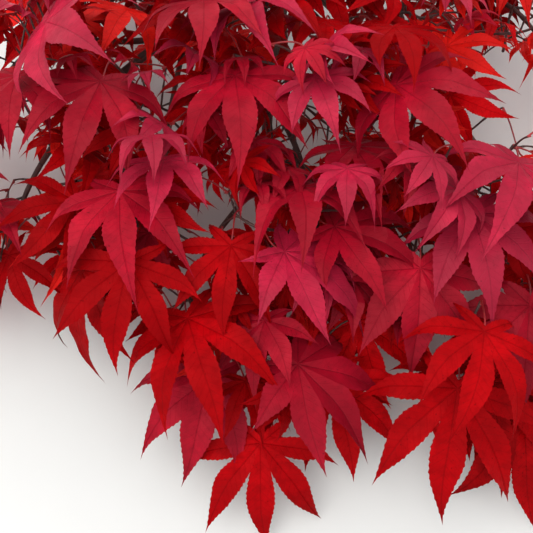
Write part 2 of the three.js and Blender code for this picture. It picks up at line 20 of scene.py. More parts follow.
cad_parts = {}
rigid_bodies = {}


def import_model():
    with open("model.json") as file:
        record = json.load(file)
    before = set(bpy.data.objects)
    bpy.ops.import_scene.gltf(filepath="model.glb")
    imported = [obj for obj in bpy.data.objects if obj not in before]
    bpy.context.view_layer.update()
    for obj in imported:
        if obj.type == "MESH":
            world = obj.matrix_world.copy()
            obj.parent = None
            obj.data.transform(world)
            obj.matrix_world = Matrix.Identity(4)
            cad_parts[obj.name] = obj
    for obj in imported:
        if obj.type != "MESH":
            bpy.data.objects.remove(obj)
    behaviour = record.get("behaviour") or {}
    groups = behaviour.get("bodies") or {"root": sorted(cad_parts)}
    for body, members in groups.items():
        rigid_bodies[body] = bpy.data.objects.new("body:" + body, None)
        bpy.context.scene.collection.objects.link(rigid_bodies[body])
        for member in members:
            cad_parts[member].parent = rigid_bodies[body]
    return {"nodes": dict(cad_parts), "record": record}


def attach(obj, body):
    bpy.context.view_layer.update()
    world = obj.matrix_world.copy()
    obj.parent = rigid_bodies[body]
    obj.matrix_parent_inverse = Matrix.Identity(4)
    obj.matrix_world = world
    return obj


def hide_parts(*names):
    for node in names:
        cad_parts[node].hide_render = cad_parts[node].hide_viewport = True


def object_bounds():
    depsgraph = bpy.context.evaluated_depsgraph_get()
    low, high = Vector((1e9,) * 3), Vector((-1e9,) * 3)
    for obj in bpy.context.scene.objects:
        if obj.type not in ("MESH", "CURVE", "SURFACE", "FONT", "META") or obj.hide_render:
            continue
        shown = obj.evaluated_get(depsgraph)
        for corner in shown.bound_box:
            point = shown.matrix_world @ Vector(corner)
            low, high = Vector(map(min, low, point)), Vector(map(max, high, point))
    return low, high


bl_info = {
    "name": "Japanese maple branch",
    "version": (1, 0, 0),
    "blender": (4, 5, 0),
    "location": "3D View > Sidebar > Maple",
    "description": "Builds a cut branch of a red Japanese maple: boughs, twigs, stalks, leaves and stage",
    "category": "Add Mesh",
}

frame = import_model()
CAD_LOW, CAD_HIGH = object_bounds()
NODES = sorted(frame["nodes"])
BODY = "root"

# Driving sizes of the source, in millimetres and degrees

LIE_TILT = math.radians(20)
FLOOR_DROP = 72
SIGHT = 520
GAP = 0.3
FLOOR_GAP = 1.5
SPARE = 0.4
WIDE_SPARE = 0.5
LIMB_SPARE = 1

CUT_END = (34, 368, -178)
CUT_RADIUS = 8.5
BOUGH_TIP = 2.0
LIMB_TIP = 1.8
STEM_TIP = 1.3
SHOOT_ROOT = 1.0
SHOOT_TIP = 0.85
STALK_RADIUS = 0.65
STALK_STEPS = 1

NODE_STEP = 36
SHOOT_LENGTH = 52
STALK_LENGTH = 30
LEAF_LENGTH = 66
HUB_HALF = 1.1
BLADE_DROOP = 0.13
LEAF_RANGE = (0.72, 1.08)  # a leaf's own share of the full length, least and most
STALK_RANGE = (0.75, 1.2)
SHOOT_RANGE = (0.7, 1.15)
FRONT_STALK = 0.85  # a front leaf's share of the full stalk
TRIES = 11
TRY_SHRINK = 0.05  # how much shorter each further try makes a leaf
MOST_HEADING = 70
SHIFTS = (0, 5, -5, 10, -10, 15, -15, 20, -20, 26, -26, 32)

# Lobes of the blade from left to right: angle off the heading, length, and
# whether the lobe is one of the three wide ones.
Lobe = namedtuple("Lobe", "turn reach wide")
LOBES = (
    Lobe(-128, 0.42, False),
    Lobe(-82, 0.74, False),
    Lobe(-40, 0.94, True),
    Lobe(0, 1.0, True),
    Lobe(40, 0.94, True),
    Lobe(82, 0.74, False),
    Lobe(128, 0.42, False),
)
NOTCHES = (0.23, 0.33, 0.36, 0.36, 0.33, 0.23)
PLAIN_NOTCH = 0.04
LOBE_HALF_WIDTH = 0.15
LOBE_WIDEST = 0.52
SINUS = 0.07

# How the long bough bends from its cut end, and the thickest root of a short limb.
SPINE = ((32, 284, -66), (-10, 150, -58), (-2, -24, -26))
LIMB_ROOT = 3
LIMB_ROOT_SHARE = 0.68

# The side boughs: where each leaves the long bough, its tip and its root size.
SideBough = namedtuple("SideBough", "name at tip root")
SIDE_BOUGHS = (
    SideBough("left_bough", 0.3, (-162, 74, -34), 5.4),
    SideBough("right_bough", 0.37, (164, 66, -34), 5.2),
)

# The masses of foliage: the bough that carries the limb and how far along, the
# limb's tip, the way the stem runs and how far, and the half size of the space.
# Each front leaf is its hub (across, up and depth), heading, lift, roll, length.
Mass = namedtuple("Mass", "name bough at tip aim reach room front")
MASSES = (
    Mass(
        "tip", "long_bough", None, None, (0, -1, 0.25), 78, (98, 68, 66),
        ((-4, -119, 14, 0, 8, 0, 72), (21, -66, 34, 48, 12, 40, 74), (46, -78, 4, 12, 14, -6, 66)),
    ),
    Mass(
        "low_left", "long_bough", 0.8, (-44, 6, -22), (-0.15, -1, 0.2), 72, (88, 64, 66),
        ((-39, -75, 12, -12, 16, 0, 72), (-53, -35, 30, 20, 38, -6, 78)),
    ),
    Mass(
        "middle", "long_bough", 0.66, (26, 66, -18), (0.25, -1, 0.3), 66, (104, 92, 76),
        ((12, 10, 44, 63, 10, 44, 68), (46, 27, 24, 74, 20, 38, 62), (-24, 14, 30, -8, 20, 0, 58)),
    ),
    Mass(
        "upper", "long_bough", 0.48, (14, 146, -34), (0.1, -1, 0.45), 74, (110, 108, 86),
        ((33, 127, 46, 16, 36, 0, 47), (23, 54, 34, 8, 64, 4, 64), (-21, 128, 30, 8, 30, 0, 70)),
    ),
    Mass(
        "crest", "long_bough", 0.25, (10, 234, -50), (-0.2, -0.9, 0.5), 70, (112, 104, 88),
        ((-42, 178, 30, 8, 44, 0, 62), (-16, 176, 34, 22, 44, 0, 60)),
    ),
    Mass(
        "far_left", "left_bough", None, None, (-0.35, -1, 0.2), 70, (104, 74, 74),
        ((-174, 8, 12, 20, 10, 0, 47), (-129, 44, 26, -38, 30, 0, 56)),
    ),
    Mass(
        "left", "left_bough", 0.68, (-104, 78, -26), (0.1, -1, 0.3), 76, (100, 84, 76),
        ((-99, 51, 40, 9, 42, 0, 70), (-125, -2, 24, -5, 8, -42, 72), (-93, 3, 34, -12, 10, 0, 68)),
    ),
    Mass(
        "upper_left", "left_bough", 0.4, (-66, 130, -36), (-0.1, -1, 0.45), 70, (108, 106, 86),
        ((-69, 72, 44, 2, 62, 0, 52), (-112, 124, 30, -12, 30, 0, 68)),
    ),
    Mass(
        "outer_left", "left_bough", 0.5, (-176, 158, -50), (-0.3, -0.9, 0.35), 68, (112, 104, 84),
        ((-168, 128, 30, 2, 30, 0, 50), (-149, 165, 26, 56, 56, 0, 78)),
    ),
    Mass(
        "crest_left", "left_bough", 0.18, (-96, 232, -72), (-0.3, -0.8, 0.5), 72, (118, 110, 90), (),
    ),
    Mass(
        "far_right", "right_bough", None, None, (0.3, -1, 0.2), 66, (106, 96, 76),
        ((139, 36, 38, 8, 34, 0, 66), (170, 70, 36, -25, 50, 0, 68), (178, -26, 30, -8, 12, 0, 70)),
    ),
    Mass(
        "right", "right_bough", 0.6, (96, 62, -24), (0.1, -1, 0.3), 74, (104, 96, 80),
        ((104, -1, 36, -4, 14, 0, 70), (62, -36, 16, 16, 8, 0, 66)),
    ),
    Mass(
        "low_right", "right_bough", 0.78, (134, -2, -22), (0.05, -1, 0.15), 78, (94, 76, 66),
        ((129, -82, 34, -11, 12, -4, 84), (152, -78, 14, 5, 12, 0, 74), (147, -44, 44, -16, 34, 0, 66)),
    ),
    Mass(
        "outer_right", "right_bough", 0.8, (204, 24, -46), (0.05, -1, 0.35), 84, (96, 96, 76),
        ((174, -102, 26, 0, 10, 0, 76),),
    ),
    Mass(
        "upper_right", "right_bough", 0.34, (84, 142, -36), (0.2, -1, 0.45), 72, (104, 108, 86),
        ((88, 122, 34, 40, 36, 0, 68), (124, 116, 4, 58, 20, 0, 46)),
    ),
    Mass(
        "side_right", "right_bough", 0.42, (164, 204, -62), (0.5, -0.55, 0.4), 66, (110, 74, 84),
        ((122, 148, 8, 48, 20, 0, 44),),
    ),
    Mass(
        "crest_right", "right_bough", 0.18, (90, 240, -74), (0.1, -0.8, 0.5), 72, (114, 108, 90), (),
    ),
    Mass(
        "back_left", "long_bough", 0.17, (-54, 282, -108), (-0.7, -0.3, 0.5), 74, (116, 108, 84), (),
    ),
    Mass(
        "back_right", "long_bough", 0.13, (98, 292, -112), (0.7, -0.3, 0.5), 74, (116, 108, 84), (),
    ),
    Mass(
        "back", "long_bough", 0.22, (24, 286, -68), (0.1, -0.6, 0.7), 66, (112, 96, 84), (),
    ),
)

# Sizes of the finer growth that the scene adds

FINE_TWIG_LENGTH = 26
FINE_LEAF_SHARE = 0.8  # of the length of a source leaf
FINE_TWIG_RANGE = (0.5, 1.3)
FINE_LEAF_RANGE = (0.7, 1.1)
FINE_STALK_RANGE = (0.5, 1.1)
FINE_TRIES = 10
FINE_HIGH = 30  # above this height the fine leaves get shorter and turn up to the sky
FINE_HIGH_SPAN = 90
FINE_HIGH_SHRINK = 0.2
FINE_HIGH_TIP = 30
FINE_TIP_RANGE = (0.3, 1.2)
FINE_ROOTS = (0.15, 0.35, 0.55, 0.75, 0.95)
FINE_SHRINK = 0.85  # a fine leaf's test shape, so that only lobe tips may meet
FINE_ROOT_RADIUS = 0.8
FINE_TIP_RADIUS = 0.55

# Where the hanging branch is open, read from the photo in pixels, across
# and down: the lower edge of its leaves, and gaps, each by its middle and half size.
PHOTO_MIDDLE = 266.5
PHOTO_FOCUS = 770
LOWER_EDGE = (
    (-75, 360), (0, 290), (45, 310), (60, 330), (150, 335), (155, 375), (190, 400), (200, 440),
    (222, 440), (235, 470), (290, 470), (300, 440), (335, 440), (385, 455), (400, 440),
    (465, 440), (480, 470), (533, 500),
)
GAPS = (
    (505, 105, 50, 52), (482, 76, 24, 14), (525, 15, 14, 18), (15, 160, 22, 38),
    (48, 175, 12, 22), (15, 240, 16, 16), (228, 205, 12, 20), (260, 216, 15, 15),
    (178, 226, 12, 9), (190, 241, 14, 8), (153, 247, 8, 7), (185, 181, 9, 7),
    (197, 280, 10, 14), (178, 296, 10, 14), (262, 285, 9, 16), (258, 345, 18, 14),
    (228, 360, 7, 7), (325, 328, 11, 14), (355, 333, 15, 8), (385, 350, 12, 8),
    (395, 390, 24, 9), (405, 412, 14, 9), (395, 430, 9, 14), (420, 247, 26, 10),
    (478, 290, 16, 20), (510, 288, 15, 12), (437, 325, 12, 22), (455, 357, 14, 15),
    (290, 402, 11, 11), (245, 415, 7, 14), (305, 432, 12, 8), (331, 418, 8, 10),
    (305, 140, 14, 14), (382, 157, 12, 9), (278, 37, 18, 9), (192, 28, 9, 9),
    (122, 117, 7, 6), (98, 305, 5, 16), (130, 312, 15, 9), (50, 285, 12, 9),
    (55, 250, 12, 9), (80, 262, 6, 8), (508, 440, 5, 10), (508, 490, 6, 12),
    (222, 440, 8, 14),
)
MOST_IN_GAP = 0.12  # share of a blade that may be seen in a gap
MOST_BEFORE = 0.3  # share of a blade that may be seen before the sighted leaves
SIGHTED_MIDDLE = 0.42  # along a sighted leaf, the middle of the round that counts as it
SIGHTED_HALF = 0.5  # that round's half size, and the least share of it that is seen
NEARER = 4  # how far behind a sighted leaf's hub a blade still counts as before it

# Small vector tools

DOWN = np.array((0.0, -1.0, 0.0))
OUT = np.array((0.0, 0.0, 1.0))


def vec(*numbers):
    return np.array(numbers, float)


def unit(v):
    return v / math.sqrt(v @ v)


def clamp(value, low=0, high=1):
    return max(low, min(high, value))


def cross(a, b):
    return vec(
        a[1] * b[2] - a[2] * b[1],
        a[2] * b[0] - a[0] * b[2],
        a[0] * b[1] - a[1] * b[0],
    )


REST_HEIGHT = 0.003
LAY = np.array(Matrix.Rotation(LIE_TILT, 3, "X"))
CUT_MOUNT = next(m for m in frame["record"]["mounts"] if m["name"] == "cut_end")
SHIFT = np.array(CUT_MOUNT["pos_m"]) - LAY @ vec(*CUT_END) / 1000


def laid(points):
    """Points of the hanging frame, in millimetres, where they lie, in metres."""
    return np.asarray(points) @ LAY.T / 1000 + SHIFT


def rested(points):
    """Bends up onto the floor what would pass through it."""
    low = points[:, 2] < REST_HEIGHT
    points[low, 2] = REST_HEIGHT * np.exp(points[low, 2] / REST_HEIGHT - 1)
    return points


def seeded(seed):
    """Repeatable random numbers: the same seed always grows the same twig."""
    mask = 0xFFFFFFFF
    state = seed & mask

    def draw(low, high):
        nonlocal state
        state = (state + 0x6D2B79F5) & mask
        t = ((state ^ (state >> 15)) * (state | 1)) & mask
        t = (t ^ (t + (t ^ (t >> 7)) * (t | 61))) & mask
        return low + (high - low) * ((t ^ (t >> 14)) & mask) / 4294967296

    return draw


LEAVE_PULL = 0.38  # how far a path runs on as it leaves, as a share of its span
ARRIVE_PULL = 0.34


class Bend:
    """A cubic curve."""

    STEP = 0.0001

    def __init__(self, *knots):
        self.knots = np.array(knots, float)

    def point(self, t):
        s = 1 - t
        return vec(s * s * s, 3 * s * s * t, 3 * s * t * t, t * t * t) @ self.knots

    def way(self, t):
        return unit(self.point(min(1, t + self.STEP)) - self.point(max(0, t - self.STEP)))


def bent_path(start, leave, end, arrive):
    """Curved path that leaves start along one way and arrives at end along another."""
    span = math.dist(start, end)
    return Bend(start, start + leave * span * LEAVE_PULL, end - arrive * span * ARRIVE_PULL, end)


def ring_frames(path, steps):
    """Middle, side and other side of each section along a path."""
    forward = path.way(0)
    side = vec(0, 0, 1) if abs(forward[0]) > 0.8 else vec(1, 0, 0)
    side = unit(cross(side, forward))
    for i in range(steps + 1):
        tangent = path.way(i / steps)
        side = unit(side - tangent * (side @ tangent))
        yield path.point(i / steps), side, cross(tangent, side)


def swept(path, radii, sides):
    """Corners of a many-sided rod along a path, with a radius for each section."""
    angles = np.arange(sides) * 2 * math.pi / sides
    rings = [
        middle + radius * (np.outer(np.cos(angles), side) + np.outer(np.sin(angles), other))
        for (middle, side, other), radius in zip(ring_frames(path, len(radii) - 1), radii)
    ]
    return np.concatenate(rings)


def rod_points(path, start, end, steps, sides):
    """Corners of a many-sided rod that tapers along a path."""
    return swept(path, [start + (end - start) * i / steps for i in range(steps + 1)], sides)


def radius_at(rod, t):
    """Radius of a bough or twig part of the way along."""
    return rod.start + (rod.end - rod.start) * t


@lru_cache
def rod_faces(steps, sides):
    """Triangles of a rod with closed ends."""
    faces = []
    for i in range(steps):
        for k in range(sides):
            a = i * sides + k
            b = i * sides + (k + 1) % sides
            faces += [(a, b, a + sides), (b, b + sides, a + sides)]
    last = steps * sides
    for k in range(1, sides - 1):
        faces += [(0, k + 1, k), (last, last + k, last + k + 1)]
    return faces


# The rule by which the branch grows, as in the source


def blade_outline(full):
    """Corners of a blade of length one: along its heading, to its right, out of its face."""
    spread = math.degrees(math.atan2(LOBE_HALF_WIDTH, LOBE_WIDEST))
    shoulder = math.hypot(LOBE_HALF_WIDTH, LOBE_WIDEST)
    ring = []
    for i, lobe in enumerate(LOBES):
        if i > 0:
            reach = NOTCHES[i - 1] + (0 if full else PLAIN_NOTCH)
            ring.append(((LOBES[i - 1].turn + lobe.turn) / 2, reach))
        wide = full and lobe.wide
        if wide:
            ring.append((lobe.turn - spread, shoulder * lobe.reach))
        ring.append((lobe.turn, lobe.reach))
        if wide:
            ring.append((lobe.turn + spread, shoulder * lobe.reach))
    return np.array(
        [
            (r * math.cos(math.radians(t)), r * math.sin(math.radians(t)), -BLADE_DROOP * r * r)
            for t, r in ring
        ]
    )


FULL_OUTLINE = blade_outline(True)
PLAIN_OUTLINE = blade_outline(False)
SAMPLE_SHARES = (0.45, 0.65, 0.85)


def blade_samples():
    """Places spread over a blade of length one."""
    places = [(0.2, 0.0, 0.0)]
    for lobe in LOBES:
        turn = math.radians(lobe.turn)
        for share in SAMPLE_SHARES:
            r = share * lobe.reach
            places.append((r * math.cos(turn), r * math.sin(turn), -BLADE_DROOP * r * r))
    return np.array(places)


def in_plane(pixels):
    """Pixels as whole millimetres on the middle plane of the hanging branch."""
    return np.round(np.asarray(pixels) * SIGHT / PHOTO_FOCUS)


def places_in_plane(places):
    """Places in the photo, across and down, as places across and up on that plane."""
    across, down = np.array(places, float).T
    return in_plane(across - PHOTO_MIDDLE), in_plane(PHOTO_MIDDLE - down)


BLADE_SAMPLES = blade_samples()
GAP_MIDDLES = np.transpose(places_in_plane([gap[:2] for gap in GAPS]))
GAP_HALVES = in_plane([gap[2:] for gap in GAPS])
EDGE_ACROSS, EDGE_UP = places_in_plane(LOWER_EDGE)


def seen_samples(leaf):
    """Samples of a leaf as seen against the middle plane, and how near each hangs."""
    points = leaf.hub + leaf.length * BLADE_SAMPLES @ leaf.ways
    return points[:, :2] * SIGHT / (SIGHT - points[:, 2:]), points[:, 2:]


def share_in_gaps(leaf):
    """How much of a leaf would be seen where the branch is open."""
    seen, _ = seen_samples(leaf)
    away = (seen[:, None] - GAP_MIDDLES) / GAP_HALVES
    inside = ((away**2).sum(axis=2) < 1).any(axis=1)
    below = seen[:, 1] < np.interp(seen[:, 0], EDGE_ACROSS, EDGE_UP)
    return (inside | below).mean()


Leaf = namedtuple("Leaf", "hub length ways outline")
Twig = namedtuple("Twig", "path start end")
Shape = namedtuple("Shape", "points tree low high")


def blade_ways(heading, lift, roll):
    """The three ways of a blade, as rows: along it, to its right, out of its face."""
    flat = vec(math.sin(heading), -math.cos(heading), 0)
    u = flat * math.cos(lift) + OUT * math.sin(lift)
    face = OUT * math.cos(lift) - flat * math.sin(lift)
    w = face * math.cos(roll) + cross(face, u) * math.sin(roll)
    return np.array((u, cross(w, u), w))


def tipped(ways, angle):
    """The three ways of a blade whose tip has swung out and up."""
    u, v, w = ways
    cos, sin = math.cos(angle), math.sin(angle)
    return np.array((u * cos + w * sin, v, w * cos - u * sin))


def blade_points(leaf, spare):
    """A thin double pyramid over the blade's outline, fatter all round by spare."""
    w = leaf.ways[2]
    rim = leaf.hub + leaf.length * leaf.outline @ leaf.ways
    away = rim - leaf.hub
    rim = rim + 2 * spare * away / np.linalg.norm(away, axis=1, keepdims=True)
    tall = w * (HUB_HALF + spare)
    back = leaf.hub - SINUS * leaf.length * leaf.ways[0]
    return np.vstack((leaf.hub + tall, leaf.hub - tall, back, rim))


@lru_cache
def blade_faces(corners):
    faces = []
    for a in range(2, corners):
        b = a + 1 if a + 1 < corners else 2
        faces += [(0, a, b), (1, b, a)]
    return faces


def tested(points, faces):
    """A shape with what a touching test needs."""
    tree = BVHTree.FromPolygons(points.tolist(), faces)
    return Shape(points, tree, points.min(axis=0), points.max(axis=0))


def tested_rod(path, start, end, steps, sides):
    return tested(rod_points(path, start, end, steps, sides), rod_faces(steps, sides))


def tested_blade(leaf, spare):
    points = blade_points(leaf, spare)
    return tested(points, blade_faces(len(points)))


class Foliage:
    """One mass of foliage while it grows."""

    STEM_SAG = 8
    ROOM_SHIFT = (0, -16, 16)

    def __init__(self, spec, index, limb):
        tangent = limb.path.way(1)
        start = limb.path.point(1) + tangent * GAP
        aim = unit(vec(*spec.aim))
        end = start + aim * spec.reach + DOWN * self.STEM_SAG
        self.spec = spec
        self.index = index
        self.middle = (start + end) / 2 + vec(*self.ROOM_SHIFT)
        self.room = vec(*spec.room)
        self.random = seeded(71 + 13 * index)
        self.own = (f"twig {index}", f"stalk {index}")  # what its new growth may touch
        self.twigs, self.spurs, self.leaves, self.stalks = [], [], [], []
        self.fine_twigs, self.fine_leaves, self.fine_stalks = [], [], []
        self.path = bent_path(start, tangent, end, unit(aim + DOWN * 0.4))


class Branch:
    """The whole branch: its boughs and limbs, and the masses that grow on them."""

    MOST = 20000

    def __init__(self):
        self.keys, self.shapes = [], []
        self.low = np.empty((self.MOST, 3))
        self.high = np.empty((self.MOST, 3))
        self.boughs = {}
        self.grow_wood()
        self.masses = []
        for index, spec in enumerate(MASSES):
            limb = self.boughs[spec.bough if spec.at is None else f"{spec.name}_limb"]
            mass = Foliage(spec, index, limb)
            mass.stem = self.add_twig(mass, mass.path, limb.end, STEM_TIP, 4)
            self.masses.append(mass)
        for mass in self.masses:
            for row in mass.spec.front:
                self.hang_front_leaf(mass, row)
        for mass in self.masses:
            self.pair_the_spurs(mass)
        for mass in self.masses:
            self.grow_shoots(mass)
        self.note_sighted()
        for mass in self.masses:
            self.open_gaps(mass)
        for mass in self.masses:
            self.grow_fine_twigs(mass)

    # What stands in the way

    def keep(self, key, shape):
        n = len(self.shapes)
        self.keys.append(key)
        self.shapes.append(shape)
        self.low[n], self.high[n] = shape.low, shape.high

    def clear(self, shape, skip=()):
        n = len(self.shapes)
        near = (self.low[:n] <= shape.high).all(axis=1) & (self.high[:n] >= shape.low).all(axis=1)
        return not any(
            self.keys[i] not in skip and shape.tree.overlap(self.shapes[i].tree)
            for i in np.flatnonzero(near)
        )

    @staticmethod
    def over_floor(points):
        heights = points[:, 1] * math.sin(LIE_TILT) + points[:, 2] * math.cos(LIE_TILT) + FLOOR_DROP
        return bool((heights > FLOOR_GAP).all())

    def fits(self, mass, points):
        inside = (((points - mass.middle) / mass.room) ** 2).sum(axis=1) <= 1
        return bool(inside.all()) and self.over_floor(points)

    # Boughs and limbs

    Bough = namedtuple("Bough", "name path start end parent joint")

    def add_bough(self, name, path, start, end, steps, sides, parent, joint):
        self.boughs[name] = self.Bough(name, path, start, end, parent, joint)
        self.keep("wood", tested_rod(path, start + LIMB_SPARE, end + LIMB_SPARE, steps, sides))

    def offshoot(self, name, bough, at, tip, root, end, steps, sides):
        parent = self.boughs[bough]
        start = parent.path.point(at)
        toward = unit(tip - start)
        leave = unit(parent.path.way(at) * 0.75 + toward)
        path = bent_path(start, leave, tip, unit(toward + DOWN * 0.5))
        self.add_bough(name, path, root, end, steps, sides, bough, radius_at(parent, at))

    def grow_wood(self):
        spine = Bend(CUT_END, *SPINE)
        self.add_bough("long_bough", spine, CUT_RADIUS, BOUGH_TIP, 14, 10, None, 0)
        for name, at, tip, root in SIDE_BOUGHS:
            self.offshoot(name, "long_bough", at, vec(*tip), root, BOUGH_TIP, 10, 8)
        for spec in MASSES:
            if spec.at is None:
                continue
            thick = radius_at(self.boughs[spec.bough], spec.at)
            root = min(LIMB_ROOT, thick * LIMB_ROOT_SHARE)
            name = f"{spec.name}_limb"
            self.offshoot(name, spec.bough, spec.at, vec(*spec.tip), root, LIMB_TIP, 5, 5)

    # Foliage

    def add_twig(self, mass, path, start, end, steps):
        twig = Twig(path, start, end)
        mass.twigs.append(twig)
        self.keep(mass.own[0], tested_rod(path, start + WIDE_SPARE, end + WIDE_SPARE, steps, 3))
        return twig

    def stalk_path(self, root, leaf):
        """The stalk rises from the twig and comes down to the back of the blade."""
        end = leaf.hub - SINUS * leaf.length * leaf.ways[0]
        leave = unit(unit(end - root) + DOWN * -0.35)
        return bent_path(root, leave, end, leaf.ways[0])

    def stalk_shape(self, path):
        return tested_rod(path, STALK_RADIUS + SPARE, STALK_RADIUS + SPARE, STALK_STEPS, 3)

    def add_leaf(self, mass, root, leaf, fine=False):
        path = self.stalk_path(root, leaf)
        self.keep(f"blade {mass.index}", tested_blade(leaf, SPARE))
        self.keep(mass.own[1], self.stalk_shape(path))
        (mass.fine_leaves if fine else mass.leaves).append(leaf)
        (mass.fine_stalks if fine else mass.stalks).append(path)

    def leaf_fits(self, mass, root, leaf):
        """A leaf may touch nothing but the wood and the stalks beside its own stalk."""
        if not self.clear(tested_blade(leaf, WIDE_SPARE)):
            return False
        return self.clear(self.stalk_shape(self.stalk_path(root, leaf)), mass.own)

    @staticmethod
    def drawn_leaf(root, way, random, length, stalk):
        """A leaf on a stalk that leaves root roughly along way."""
        turned = unit(way + vec(random(-0.4, 0.4), random(-0.4, 0.4), random(-0.3, 0.5)))
        hub = root + turned * stalk + DOWN * 4
        heading = clamp(62 * turned[0] + random(-24, 24), -MOST_HEADING, MOST_HEADING)
        lift = 26 + 26 * turned[2] + random(-18, 22)
        roll = random(-24, 24)
        ways = blade_ways(math.radians(heading), math.radians(lift), math.radians(roll))
        return Leaf(hub, length, ways, PLAIN_OUTLINE)

    def hang_leaf(self, mass, root, way, random):
        for i in range(TRIES):
            length = LEAF_LENGTH * random(*LEAF_RANGE) * (1 - TRY_SHRINK * i)
            stalk = STALK_LENGTH * random(*STALK_RANGE)
            leaf = self.drawn_leaf(root, way, random, length, stalk)
            if self.fits(mass, blade_points(leaf, 0)) and self.leaf_fits(mass, root, leaf):
                self.add_leaf(mass, root, leaf)
                return

    def hang_pair(self, mass, twig, at, across, random):
        root = twig.path.point(at)
        tangent = twig.path.way(at)
        for side in (1, -1):
            self.hang_leaf(mass, root, unit(tangent * 0.6 + across * 0.8 * side), random)

    @staticmethod
    def nearest_wood(mass, point):
        """The twig of the mass that comes nearest to a point, where, and how near."""
        best = None
        for twig in mass.twigs:
            for i in range(2, 13):
                place = twig.path.point(i / 12)
                distance = math.dist(place, point)
                if best is None or distance < best[3]:
                    best = (twig, i / 12, place, distance)
        return best[:3]

    def hang_front_leaf(self, mass, row):
        """A front leaf hangs where it was sighted, shifted in or out until it is clear."""
        across, up, depth, heading, lift, roll, length = row
        ways = blade_ways(math.radians(heading), math.radians(lift), math.radians(roll))
        back = unit(ways[0] * -0.8 + vec(0, 0.35, -0.55))
        for shift in SHIFTS:
            k = 1 - (depth + shift) / SIGHT
            hub = vec(across * k, up * k, depth + shift)
            leaf = Leaf(hub, length, ways, FULL_OUTLINE)
            root = hub + back * STALK_LENGTH * FRONT_STALK
            twig, at, place = self.nearest_wood(mass, root)
            straight = unit(root - place)
            path = bent_path(place, unit(twig.path.way(at) * 0.4 + straight), root, straight)
            shape = tested_rod(path, SHOOT_ROOT + SPARE, SHOOT_TIP + SPARE, 2, 3)
            if not self.over_floor(blade_points(leaf, 0)) or not self.leaf_fits(mass, root, leaf):
                continue
            if not self.clear(shape, mass.own):
                continue
            mass.spurs.append(self.add_twig(mass, path, SHOOT_ROOT, SHOOT_TIP, 2))
            self.add_leaf(mass, root, leaf)
            return

    def pair_the_spurs(self, mass):
        for spur in mass.spurs:
            tangent = spur.path.way(1)
            across = unit(cross(tangent, OUT))
            side = 1 if mass.random(0, 1) < 0.5 else -1
            way = unit(tangent * 0.4 + across * 0.8 * side)
            self.hang_leaf(mass, spur.path.point(0.96), way, mass.random)

    def grow_shoots(self, mass):
        """Shoots leave the stem in pairs, each a quarter turn from the last."""
        count = max(2, round(mass.spec.reach / NODE_STEP))
        for k in range(1, count + 1):
            at = (k - 0.35) / count
            root = mass.stem.path.point(at)
            tangent = mass.stem.path.way(at)
            across = vec(1, 0, 0) if k % 2 else vec(0.35, 0.2, 1)
            across = unit(across - tangent * (across @ tangent))
            for side in (1, -1):
                random = seeded(1000 * (mass.index + 1) + 10 * k + side)
                way = unit(tangent * 0.55 + across * 0.8 * side)
                length = SHOOT_LENGTH * random(*SHOOT_RANGE)
                end = root + way * length + DOWN * random(2, 10)
                path = bent_path(root, way, end, way)
                shape = tested_rod(path, SHOOT_ROOT + WIDE_SPARE, SHOOT_TIP + WIDE_SPARE, 2, 3)
                if not self.fits(mass, shape.points):
                    continue
                if not self.clear(shape, mass.own):
                    continue
                shoot = self.add_twig(mass, path, SHOOT_ROOT, SHOOT_TIP, 2)
                level = unit(cross(way, DOWN if k % 2 else OUT))
                self.hang_pair(mass, shoot, 0.97, level, random)
                self.hang_pair(mass, shoot, 0.5, unit(cross(level, way)), random)
        tip = mass.stem.path.way(1)
        self.hang_pair(mass, mass.stem, 0.985, unit(cross(tip, OUT)), mass.random)

    def note_sighted(self):
        """The middle and half size of each sighted leaf as seen, and how near it hangs."""
        rows = []
        for mass in self.masses:
            for leaf in mass.leaves:
                if leaf.outline is FULL_OUTLINE:
                    across, up, depth = leaf.hub + SIGHTED_MIDDLE * leaf.length * leaf.ways[0]
                    near = SIGHT / (SIGHT - depth)
                    half = SIGHTED_HALF * leaf.length * max(SIGHTED_HALF, leaf.ways[2][2])
                    rows.append((across * near, up * near, half * near, leaf.hub[2] - NEARER))
        self.sighted = np.array(rows)

    def shows(self, leaf):
        """Whether a leaf neither fills a gap nor hides the sighted leaves."""
        seen, nearness = seen_samples(leaf)
        away = np.linalg.norm(seen[:, None] - self.sighted[:, :2], axis=2)
        before = ((away < self.sighted[:, 2]) & (nearness > self.sighted[:, 3])).any(axis=1).mean()
        return before <= MOST_BEFORE and share_in_gaps(leaf) <= MOST_IN_GAP

    def open_gaps(self, mass):
        """Leaves out what would not show as it should. The leaves that were sighted stay."""
        kept = [
            pair
            for pair in zip(mass.leaves, mass.stalks)
            if pair[0].outline is FULL_OUTLINE or self.shows(pair[0])
        ]
        mass.leaves = [leaf for leaf, _ in kept]
        mass.stalks = [stalk for _, stalk in kept]

    # The finer twigs, in what room the source's leaves have left

    def in_reach(self, points):
        lain = laid(points)
        return bool((lain >= CAD_LOW).all() and (lain <= CAD_HIGH).all())

